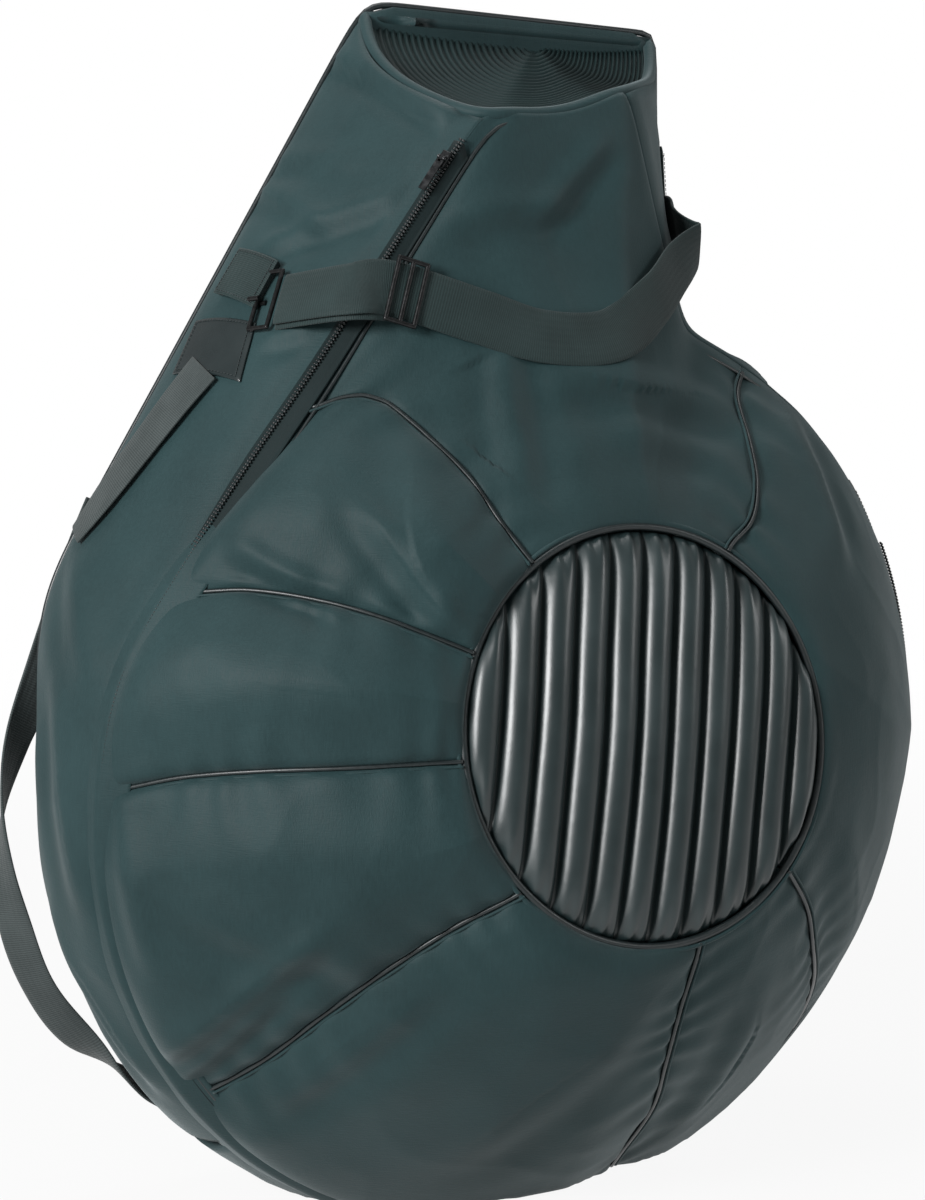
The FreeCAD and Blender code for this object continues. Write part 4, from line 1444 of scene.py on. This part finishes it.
@dataclass
class BumperPad:
    """Channelled round pad of glossy vinyl, in its ring of piping."""

    finishes: Finishes
    channels: int = 11
    depth: float = 0.0185
    crown: float = 0.012
    lean: float = math.radians(12.0)
    radius: float = 0.1830
    rise: float = 0.0080
    wall: float = 0.012
    fill: float = 0.8
    reach: float = 0.9995
    channel_faces: int = 20
    rows: int = 120
    pinch_width: float = 0.011
    pinch_least: float = 0.28
    gather: float = 0.0020
    gather_width: float = 0.016
    gather_start: float = 0.003
    gather_turn: Row = (8.0, 2.1)
    wave: float = 0.0011
    wave_scale: Row = (16.0, 11.0, 3.1)
    sway: float = 0.0016
    sway_scale: Row = (9.0, 8.0, 2.0)
    ring_points: int = 200
    inner_ring: Row = (0.0030, 0.0020, 0.0036)
    outer_ring: Row = (0.0086, 0.0018, 0.0022)

    def axes(self) -> tuple[Vector, Vector, Vector, Vector]:
        """The pad's middle, and its ways across, up and out."""
        tilt = FORM.pad_tilt
        return (Vector((0, -FORM.pad_front, FORM.pad_height)), Vector((1, 0, 0)),
                Vector((0, math.sin(tilt), math.cos(tilt))),
                Vector((0, -math.cos(tilt), math.sin(tilt))))

    def height(self, x: float, y: float, half: float) -> float:
        """Height of the channels at a place on the pad.

        Args:
            x: Distance across the channels.
            y: Distance along them.
            half: Half their length there.

        Returns:
            The height over the ring's plane.
        """
        pitch = 2 * self.radius / self.channels
        place = (x + self.radius) / pitch
        channel = math.floor(place)
        across = 2 * (place - channel) - 1
        dome = self.crown * (1 - (x * x + y * y) / self.radius ** 2)
        tube = math.sqrt(max(0.0, 1 - across * across))
        end = max(0.0, half - abs(y))
        pinch = mix(self.pinch_least, 1.0, swell(end, self.pinch_width))
        turn = across * self.gather_turn[0] + channel * self.gather_turn[1]
        crease = self.gather * math.exp(-end / self.gather_width) * math.sin(turn)
        crease *= ease(end / self.gather_start)
        first, second, third = self.wave_scale
        wave = self.wave * noise.noise(Vector((x * first, y * second, channel * third)))
        return self.rise + dome + self.depth * (tube * pinch - 1) + (crease + wave) * tube

    def ring_cord(self, name: str, sizes: Row, material: bpy.types.Material, slot: Slot,
                  *nodes: str) -> None:
        """Cord round the pad.

        Args:
            name: Name of the piece.
            sizes: Its distance from the pad's edge, its depth behind it, and its radius.
            material: Its finish.
            slot: The record's slot that it takes.
            *nodes: CAD nodes that it stands for.
        """
        away, down, thick = sizes
        out = self.axes()[3]
        points = [FORM.ring(angle, self.radius + away) - out * down
                  for angle in turn_angles(self.ring_points)]
        dress(cord_tube(name, points, thick, True), material, Body.LID, slot, *nodes)

    def build(self) -> None:
        """Make the pad's face and the two cords round it."""
        middle, across, up, out = self.axes()
        turn = Quaternion(out, -self.lean)
        side, along = turn @ across, turn @ up
        first, second, third = self.sway_scale

        def place(u: float, w: float) -> Vector:
            x = self.radius * self.reach * mix(-1.0, 1.0, u)
            half = math.sqrt(max(0.0, self.radius ** 2 - x * x))
            y = half * (2 * w - 1)
            sway = self.sway * noise.noise(Vector((x * first, y * second, third)))
            return middle + side * (x + sway) + along * y + out * self.height(x, y, half)

        mesh = mapped_grid(self.channels * self.channel_faces, self.rows, place)
        weld(mesh)
        face_away(mesh)
        piece = new_object("vinyl_bumper_pad", mesh)
        thicken(piece, self.wall)
        dress(piece, self.finishes.vinyl, Body.LID, Slot.VINYL, "bumper_pad")
        self.ring_cord("pad_ring_cord", self.inner_ring, self.finishes.piping, Slot.PIPING,
                       "pad_piping")
        self.ring_cord("pad_outer_cord", self.outer_ring, self.finishes.cloth, Slot.NYLON)


# Zip


@dataclass
class Zip:
    """Zip round the front: its two tapes, its teeth and the flap over its lower part."""

    finishes: Finishes
    start: float = math.radians(98.0)
    end: float = math.radians(385.0)
    width: float = 0.0155
    pitch: float = 0.0034
    points: int = 320
    rows: int = 16
    thick: float = 0.0011
    shell_lift: float = 0.0034
    shell_slope: float = 0.10
    lid_lift: float = 0.0030
    bead: float = 0.0012
    bead_place: float = 0.92
    bead_width: float = 0.06
    tooth: Row = (0.0030, 0.0017, 0.0017)
    tooth_lift: float = 0.0042
    tooth_side: float = 0.0014
    tooth_raise: float = 0.0012
    tooth_step: float = 0.001
    flap_start: float = math.radians(142.0) - 0.05
    flap_end: float = math.radians(345.0)
    flap_points: int = 420
    flap_thick: float = 0.0012
    flap_width: float = 0.034
    flap_least: float = 0.002
    flap_opening: float = 0.30
    flap_front: float = 0.024
    flap_slope: float = 0.12
    flap_rises: Row = (0.0030, 0.0062, 0.0040)
    flap_fade: Row = (0.25, 0.12)
    flap_wave: Row = (0.0010, 17.0)
    flap_raise: float = 0.0002

    def bead_rise(self, w: float) -> float:
        """Height of the cord that is woven into a tape beside its free edge."""
        return self.bead * math.exp(-((w - self.bead_place) / self.bead_width) ** 2)

    def shell_tape(self, u: float, w: float) -> Vector:
        """Point of the tape on the gusset."""
        angle = mix(self.start, self.end, u)
        out = FORM.corner_out(angle)
        side = Vector((out.x, 0, out.z)).normalized()
        rise = self.shell_lift + self.shell_slope * self.width * w + self.bead_rise(w)
        point = FORM.front_point(angle) + Vector((0, self.width * w, 0)) + side * rise
        return above_floor(point, True)

    def lid_tape(self, u: float, w: float) -> Vector:
        """Point of the tape on the dome."""
        angle = mix(self.start, self.end, u)
        share = self.width * w / FORM.front_length(angle)
        out = FORM.out(FORM.dome, angle, share)
        return above_floor(FORM.dome(angle, share) + out * (self.lid_lift + self.bead_rise(w)),
                           True)

    def flap(self, u: float, w: float) -> Vector:
        """Point of the flap that hides the lower zip, from the dome across to the gusset."""
        angle = mix(self.flap_start, self.flap_end, u)
        past = angle - self.flap_start
        wide = max(self.flap_width * ease(past / self.flap_opening), self.flap_least)
        out = FORM.corner_out(angle)
        first, middle, last = self.flap_rises
        if w < 0.5:
            share = self.flap_front * (1 - 2 * w) / FORM.front_length(angle)
            base = FORM.dome(angle, share)
            way = FORM.out(FORM.dome, angle, max(share, FORM.near)).lerp(out, 2 * w).normalized()
            rise = mix(first, middle, ease(2 * w))
        else:
            side = Vector((out.x, 0, out.z)).normalized()
            part = 2 * w - 1
            base = FORM.front_point(angle) + Vector((0, wide * part, 0))
            base += side * (self.flap_slope * wide * part)
            way = out.lerp(side, part).normalized()
            rise = mix(middle, last, part ** 3)
        least_rise, fade = self.flap_fade
        height, scale = self.flap_wave
        rise *= mix(least_rise, 1.0, ease(past / fade))
        rise += height * noise.noise(base * scale)
        return above_floor(base + way * rise) + Vector((0, 0, self.flap_raise))

    def build_flap(self) -> None:
        """Make the flap over the lower zip."""
        mesh = mapped_grid(self.flap_points, self.rows, self.flap)
        face_away(mesh)
        piece = new_object("cloth_zip_flap", mesh)
        thicken(piece, self.flap_thick)
        dress(piece, self.finishes.cloth, Body.LID, Slot.NYLON)

    def build_tapes(self) -> None:
        """Make the two tapes."""
        for name, node, place, body in (
                ("tape_shell_side", "zip_tape_shell", self.shell_tape, Body.SHELL),
                ("tape_lid_side", "zip_tape_lid", self.lid_tape, Body.LID)):
            mesh = mapped_grid(self.points, self.rows, place)
            face_away(mesh)
            piece = new_object(name, mesh)
            thicken(piece, self.thick)
            dress(piece, self.finishes.tape, body, Slot.ZIP_TAPE, node)

    def build_teeth(self) -> None:
        """Make the coil's teeth, one row on each half."""
        size = Matrix.Diagonal((*self.tooth, 1.0))
        for name, node, body, side in (("teeth_shell_side", "zip_chain_shell", Body.SHELL, 1),
                                       ("teeth_lid_side", "zip_chain_lid", Body.LID, -1)):
            mesh = bmesh.new()
            angle = self.start
            while angle < self.end:
                here = FORM.front_point(angle)
                along = FORM.front_point(angle + self.tooth_step) - here
                out = FORM.corner_out(angle)
                along_way = along.normalized()
                across = out.cross(along_way).normalized()
                if across.y < 0:
                    across = -across
                middle = here + out * self.tooth_lift + across * (side * self.tooth_side)
                turn = Matrix((across, along_way, out)).transposed().to_4x4()
                turn.translation = above_floor(middle) + Vector((0, 0, self.tooth_raise))
                bmesh.ops.create_cube(mesh, size=1.0, matrix=turn @ size)
                angle += self.pitch * self.tooth_step / max(along.length, 1e-6)
            piece = new_object(name, mesh)
            dress(piece, self.finishes.coil, body, Slot.ZIP_COIL, node)

    def build(self) -> None:
        """Make the zip."""
        self.build_tapes()
        self.build_teeth()
        self.build_flap()


# Straps


@dataclass
class ShoulderStrap:
    """Shoulder strap across the neck, with its return layer and its tail."""

    finishes: Finishes
    width: float = 0.050
    thick: float = 0.0024
    ring_angle: float = math.radians(117.5)
    ring_share: float = 0.66
    cross_angle: float = math.radians(112.5)
    cross_lift: float = 0.032
    fold_thick: float = 0.014
    wire: float = 0.0022
    route: tuple[Row, ...] = ((-0.160, 0.852, 0.0240), (-0.092, 0.829, 0.014),
                              (-0.034, 0.809, 0.011), (0.034, 0.806, 0.012),
                              (0.088, 0.834, 0.015), (0.130, 0.861, 0.016))
    tail: tuple[Row, ...] = ((61.5, 0.8, 0.0135), (62.0, 0.6, 0.0095), (62.4, 0.42, 0.0065),
                             (62.6, 0.3, 0.0036), (62.6, 0.18, 0.0036))
    end: Row = (0.174, 0.880)
    end_way: Row = (1.0, -0.5, 0.0)
    end_sink: float = 0.0006
    ring_room: float = 0.0047
    layer: float = 0.0034
    tail_gap: float = 0.0016
    columns: tuple[int, int, int] = (120, 50, 60)

    def points(self) -> tuple[list[Vector], list[Vector]]:
        """Points of the front stretch and the ways that its face looks."""
        ring = FORM.gusset(self.ring_angle, self.ring_share)
        out = FORM.out(FORM.gusset, self.ring_angle, self.ring_share)
        points = [ring + out * (self.fold_thick - self.wire)]
        corner = FORM.corner_out(self.cross_angle)
        points.append(FORM.front_point(self.cross_angle) + corner * self.cross_lift)
        outs = [out, corner]
        for x, z, off in self.route:
            outs.append(FORM.front_out(x, z))
            points.append(FORM.front_surface(x, z) + outs[-1] * off)
        along = (points[3] - points[2]).normalized()
        flat = outs[2] + outs[3]
        outs[2] = outs[3] = (flat - along * flat.dot(along)).normalized()
        return points, outs

    def build(self) -> None:
        """Make the strap, its return layer and its tail."""
        points, outs = self.points()
        webbing = self.finishes.webbing
        front_columns, back_columns, tail_columns = self.columns
        end_way = Vector(self.end_way).normalized()
        end = Vector((self.end[0], FORM.seam_y(self.end[1]) - self.end_sink, self.end[1]))
        start = points[0] + (points[1] - points[0]).normalized() * self.ring_room
        whole = [start] + points[1:] + [end]
        strap = webbing_strip("webbing_shoulder_strap", whole, outs + [end_way],
                              [self.width] * len(whole), self.thick, front_columns)
        dress(strap, webbing, Body.LID, Slot.WEBBING, "shoulder_strap")
        under = [p - o * self.layer + Vector((0, 0, -self.layer)) for p, o in zip(points[:3], outs)]
        under[0] += (under[1] - under[0]).normalized() * self.ring_room
        back = webbing_strip("webbing_strap_return", under, outs[:3], [self.width] * 3,
                             self.thick, back_columns)
        dress(back, webbing, Body.LID, Slot.WEBBING, "strap_return")
        tail = [end + Vector((0, self.tail_gap, 0))]
        ways = [end_way]
        for angle, share, off in self.tail:
            way = FORM.out(FORM.gusset, math.radians(angle), share)
            tail.append(FORM.gusset(math.radians(angle), share) + way * off)
            ways.append(way)
        rest = webbing_strip("webbing_strap_tail", tail, ways, [self.width] * len(tail),
                             self.thick, tail_columns)
        dress(rest, webbing, Body.SHELL, Slot.WEBBING, "strap_tail")


@dataclass
class Patches:
    """Vinyl patches and sewn tabs on the gussets."""

    finishes: Finishes
    faces: int = 28
    droop: float = 0.0010
    droop_width: float = 0.02
    softness: float = 0.4
    stitch_inset: float = 0.12
    stitch_lift: float = 0.0004
    stitch_steps: int = 16

    def sheet(self, name: str, corners: Sequence[Row], lift: float,
              thick: float) -> bpy.types.Object:
        """Sheet laid on the gusset between four corners.

        Args:
            name: Name of the piece.
            corners: Four (angle in degrees, share of the depth) pairs, in order round it.
            lift: Distance of its face from the gusset.
            thick: Its thickness.

        Returns:
            The new object.
        """

        def place(u: float, w: float) -> Vector:
            low = [mix(corners[0][k], corners[1][k], u) for k in (0, 1)]
            high = [mix(corners[3][k], corners[2][k], u) for k in (0, 1)]
            angle = math.radians(mix(low[0], high[0], w))
            share = mix(low[1], high[1], w)
            out = FORM.out(FORM.gusset, angle, share)
            edge = min(u, 1 - u, w, 1 - w)
            rise = lift - self.droop * math.exp(-edge / self.droop_width)
            return FORM.gusset(angle, share) + out * rise

        mesh = mapped_grid(self.faces, self.faces, place)
        face_away(mesh)
        piece = new_object(name, mesh)
        thicken(piece, thick)
        soften(piece, thick * self.softness)
        return piece

    def border(self, name: str, corners: Sequence[Row], lift: float) -> None:
        """Row of stitches round a patch, drawn in from its edge.

        Args:
            name: Name of the piece.
            corners: The patch's corners.
            lift: Distance of the patch's face from the gusset.
        """
        middle = [sum(c[k] for c in corners) / 4 for k in (0, 1)]
        ring = []
        for low, high in zip(corners, list(corners[1:]) + [corners[0]]):
            for i in range(self.stitch_steps):
                part = i / self.stitch_steps
                ring.append([mix(mix(low[k], high[k], part), middle[k], self.stitch_inset)
                             for k in (0, 1)])
        ring.append(ring[0])
        points, outs = [], []
        for angle, share in ring:
            out = FORM.out(FORM.gusset, math.radians(angle), share)
            points.append(FORM.gusset(math.radians(angle), share) + out * (lift + self.stitch_lift))
            outs.append(out)
        mesh = bmesh.new()
        stitch_row(mesh, points, outs)
        dress(new_object(name, mesh), self.finishes.thread, Body.SHELL, Slot.WEBBING)

    def build(self) -> None:
        """Make every patch and tab, with its stitches."""
        rows = (
            ("vinyl_left_patch", "left_patch", self.finishes.dark_patch, Slot.GREY_VINYL,
             ((120.2, 0.60), (126.2, 0.72), (128.2, 0.22), (122.0, 0.14)), 0.0066, 0.0016),
            # The right patch's light grey finish holds painted light from the lamp on the right
            # side
            ("vinyl_right_patch", "right_patch", self.finishes.patch, Slot.GREY_VINYL,
             ((27.0, 0.50), (23.6, 0.90), (-4.5, 0.90), (-4.5, 0.45)), 0.0075, 0.0020),
            ("webbing_left_tab", "left_tab", self.finishes.webbing, Slot.WEBBING,
             ((114.4, 0.54), (119.2, 0.56), (119.2, 0.22), (114.6, 0.22)), 0.0125, 0.0085),
            ("webbing_low_anchor", "low_anchor", self.finishes.pale_webbing, Slot.WEBBING,
             ((222.2, 0.36), (229.5, 0.36), (229.5, 0.08), (222.2, 0.08)), 0.0062, 0.0028),
            ("webbing_tail_anchor", "tail_anchor", self.finishes.webbing, Slot.WEBBING,
             ((66.2, 0.30), (60.2, 0.30), (60.2, 0.11), (66.2, 0.11)), 0.0062, 0.0028),
        )
        for name, node, finish, slot, corners, lift, thick in rows:
            piece = self.sheet(name, corners, lift, thick)
            dress(piece, finish, Body.SHELL, slot, node)
            self.border(name + "_stitches", corners, lift)


@dataclass
class SideStrap:
    """Long strap on the left: its sewn upper stretch and its free loop."""

    finishes: Finishes
    width: float = 0.038
    upper_width: float = 0.048
    thick: float = 0.0024
    upper: tuple[Row, ...] = ((126.6, 0.47), (131.0, 0.42), (137.0, 0.36), (143.5, 0.28),
                              (149.0, 0.19))
    loop: tuple[Row, ...] = ((-0.350, 0.0016, 0.652), (-0.366, 0.002, 0.618),
                             (-0.388, 0.005, 0.562), (-0.411, 0.007, 0.500),
                             (-0.441, 0.002, 0.440), (-0.459, -0.007, 0.388),
                             (-0.462, -0.012, 0.330), (-0.453, -0.014, 0.270),
                             (-0.433, -0.017, 0.212), (-0.397, -0.020, 0.160))
    loop_end: tuple[Row, ...] = ((220.0, 0.2, 0.0125), (223.6, 0.2, 0.0080), (226.0, 0.2, 0.0080))
    upper_lift: float = 0.0085
    first_way: float = math.radians(90.0)
    last_way: float = math.radians(210.0)
    turn_start: int = 3
    turn_points: int = 4
    curl: float = 0.0018
    columns: tuple[int, int] = (70, 130)

    def build(self) -> None:
        """Make the strap's two stretches."""
        webbing = self.finishes.pale_webbing
        points, outs = [], []
        for angle, share in self.upper:
            out = FORM.out(FORM.gusset, math.radians(angle), share)
            points.append(FORM.gusset(math.radians(angle), share) + out * self.upper_lift)
            outs.append(out)
        widths = [self.upper_width] * (len(points) - 1) + [self.width]
        upper = webbing_strip("webbing_side_upper", points, outs, widths, self.thick,
                              self.columns[0])
        dress(upper, webbing, Body.SHELL, Slot.WEBBING, "side_strap_upper")
        loop = [Vector(p) for p in self.loop]
        ways = []
        for i in range(len(loop)):
            turned = clamp((i - self.turn_start) / self.turn_points)
            around = mix(self.first_way, self.last_way, turned)
            ways.append(Vector((math.cos(around), math.sin(around), 0)))
        for angle, share, off in self.loop_end:
            way = FORM.out(FORM.gusset, math.radians(angle), share)
            loop.append(FORM.gusset(math.radians(angle), share) + way * off)
            ways.append(way)
        piece = webbing_strip("webbing_side_loop", loop, ways, [self.width] * len(loop),
                              self.thick, self.columns[1], self.curl)
        dress(piece, webbing, Body.LOOP, Slot.WEBBING, "side_strap")


@dataclass
class CarryHandle:
    """Webbing handle on the right, folded toward the back."""

    finishes: Finishes
    width: float = 0.030
    end_width: float = 0.009
    angles: Row = (18.2, 0.7)
    share: float = 0.58
    back_share: float = 0.22
    bow_power: float = 0.7
    lift: float = 0.009
    bow_lift: float = 0.0018
    thick: float = 0.0024
    grip_layers: float = 1.6
    steps: int = 8
    columns: tuple[int, int] = (60, 80)
    tab_width: float = 0.030
    nose: float = 0.005
    flap: Row = (3.6, 2.4, 1.4)
    flap_lift: float = 0.0050
    wrap: tuple[tuple[float, float], ...] = ((0.0150, 0.0046), (0.0105, 0.0056),
                                             (0.0064, 0.0044), (0.0048, 0.0),
                                             (0.0064, -0.0040), (0.0120, -0.0046))

    def tab(self, name: str, end: Vector, along: Vector, angle: float, turn: float,
            *nodes: str) -> None:
        """Webbing tab folded round one end of the handle.

        Args:
            name: Name of the piece.
            end: End of the handle.
            along: Way from the handle into the tab.
            angle: Angle of the handle's end round the gusset.
            turn: +1 where the tab leads to larger angles, -1 where it leads to smaller ones.
            *nodes: CAD nodes that it stands for.
        """
        out = FORM.out(FORM.gusset, angle, self.share)
        points, outs = [], []
        for step in self.flap:
            turned = angle + turn * math.radians(step)
            way = FORM.out(FORM.gusset, turned, self.share)
            points.append(FORM.gusset(turned, self.share) + way * self.flap_lift)
            outs.append(way)
        out = (out - along * out.dot(along)).normalized()
        for reach, rise in self.wrap:
            points.append(end + along * reach + out * rise)
            outs.append(-along if reach < self.nose else out if rise > 0 else -out)
        piece = webbing_strip(name, points, outs, [self.tab_width] * len(points), self.thick,
                              self.columns[0])
        dress(piece, self.finishes.webbing, Body.SHELL, Slot.WEBBING, *nodes)

    def build(self) -> None:
        """Make the grip and the tabs that hold it."""
        points, outs, widths = [], [], []
        high, low = (math.radians(a) for a in self.angles)
        for i in range(self.steps + 1):
            share = i / self.steps
            angle = mix(high, low, share)
            bow = math.sin(math.pi * share) ** self.bow_power
            depth = mix(self.share, self.back_share, bow)
            out = FORM.out(FORM.gusset, angle, depth)
            points.append(FORM.gusset(angle, depth) + out * (self.lift + self.bow_lift * bow))
            outs.append(out)
            widths.append(mix(self.end_width, self.width, bow))
        grip = webbing_strip("webbing_carry_handle", points, outs, widths,
                             self.thick * self.grip_layers, self.columns[1])
        dress(grip, self.finishes.webbing, Body.HANDLE, Slot.WEBBING, "carry_handle")
        along = (points[0] - points[-1]).normalized()
        self.tab("webbing_handle_tab_upper", points[0], along, high, 1.0, "handle_tabs")
        self.tab("webbing_handle_tab_lower", points[-1], -along, low, -1.0)


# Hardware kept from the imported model


def dress_hardware(finishes: Finishes) -> None:
    """Give the kept pieces of wire and metal their finishes."""
    for node, material in (("strap_ring", finishes.wire), ("strap_hook", finishes.wire),
                           ("strap_adjuster", finishes.wire), ("zip_slider", finishes.slider),
                           ("zip_pull", finishes.slider)):
        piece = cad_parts[node]
        for slot in piece.material_slots:
            slot.material = material
        if not piece.material_slots:
            piece.data.materials.append(material)
        log.info("%s keeps its own shape", node)


# Studio


@dataclass
class Studio:
    """Floor, lamps, world and the camera at the photograph's angle."""

    look_at: Row = (-0.046, -0.130, 0.556)
    azimuth: float = math.radians(-30.0)
    elevation: float = math.radians(10.0)
    distance: float = 3.5
    lens: float = 112.9
    sensor: float = 36.0
    floor_size: float = 6.0
    floor_shift: float = 1.5
    white: Row = (1.0, 1.0, 1.0, 1.0)
    glow: float = 0.27
    lamps: tuple[tuple[str, Row, Row, float, float], ...] = (
        ("key", (-3.5, -1.4, 2.1), (0.0, -0.1, 0.5), 200.0, 1.2),
        ("fill", (2.7, -2.4, 1.9), (0.0, -0.1, 0.5), 26.0, 1.2),
        ("top", (0.2, 0.2, 3.2), (0.0, -0.1, 0.6), 30.0, 1.6))

    def lamp(self, name: str, place: Row, aim: Row, power: float, size: float) -> None:
        """Add a soft square lamp.

        Args:
            name: Its name.
            place: Where it stands.
            aim: What it shines at.
            power: Its power in watts.
            size: Its side in metres.
        """
        data = bpy.data.lights.new(name, "AREA")
        data.energy = power
        data.size = size
        piece = bpy.data.objects.new(name, data)
        piece.location = place
        way = Vector(aim) - Vector(place)
        piece.rotation_euler = way.to_track_quat("-Z", "Y").to_euler()
        bpy.context.scene.collection.objects.link(piece)

    def build(self) -> None:
        """Make the studio."""
        mesh = bmesh.new()
        bmesh.ops.create_grid(mesh, x_segments=2, y_segments=2, size=self.floor_size)
        bmesh.ops.translate(mesh, verts=mesh.verts[:], vec=(0, self.floor_shift, 0))
        floor = new_object("studio_floor", mesh)
        floor.data.materials.append(FloorFinish().build())
        for row in self.lamps:
            self.lamp(*row)
        self.build_world()
        self.aim_camera()

    def build_world(self) -> None:
        """Make the world: white to the camera, and dimmer as light on the bag."""
        world = bpy.data.worlds.new("studio_world")
        world.use_nodes = True
        nodes, links = world.node_tree.nodes, world.node_tree.links
        back = nodes["Background"]
        seen = nodes.new("ShaderNodeBackground")
        for node, strength in ((back, self.glow), (seen, 1.0)):
            node.inputs["Color"].default_value = self.white
            node.inputs["Strength"].default_value = strength
        paths = nodes.new("ShaderNodeLightPath")
        both = nodes.new("ShaderNodeMixShader")
        links.new(paths.outputs["Is Camera Ray"], both.inputs["Fac"])
        links.new(back.outputs["Background"], both.inputs[1])
        links.new(seen.outputs["Background"], both.inputs[2])
        links.new(both.outputs["Shader"], nodes["World Output"].inputs["Surface"])
        bpy.context.scene.world = world

    def aim_camera(self) -> None:
        """Place the camera at the photograph's angle."""
        data = bpy.data.cameras.new("photo_camera")
        data.lens = self.lens
        data.sensor_width = self.sensor
        camera = bpy.data.objects.new("photo_camera", data)
        back = Vector((math.sin(self.azimuth) * math.cos(self.elevation),
                       -math.cos(self.azimuth) * math.cos(self.elevation),
                       math.sin(self.elevation)))
        camera.location = Vector(self.look_at) + back * self.distance
        camera.rotation_euler = (-back).to_track_quat("-Z", "Y").to_euler()
        bpy.context.scene.collection.objects.link(camera)
        bpy.context.scene.camera = camera


def main() -> None:
    """Build the bag piece by piece."""
    logging.basicConfig(level=logging.INFO, format="%(name)s: %(message)s")
    bpy.context.scene.view_settings.view_transform = "Standard"
    finishes = Finishes()
    Shell(finishes).build()
    Dome(finishes).build()
    BumperPad(finishes).build()
    Zip(finishes).build()
    ShoulderStrap(finishes).build()
    Patches(finishes).build()
    SideStrap(finishes).build()
    CarryHandle(finishes).build()
    dress_hardware(finishes)
    Studio().build()


if __name__ == "__main__":
    main()
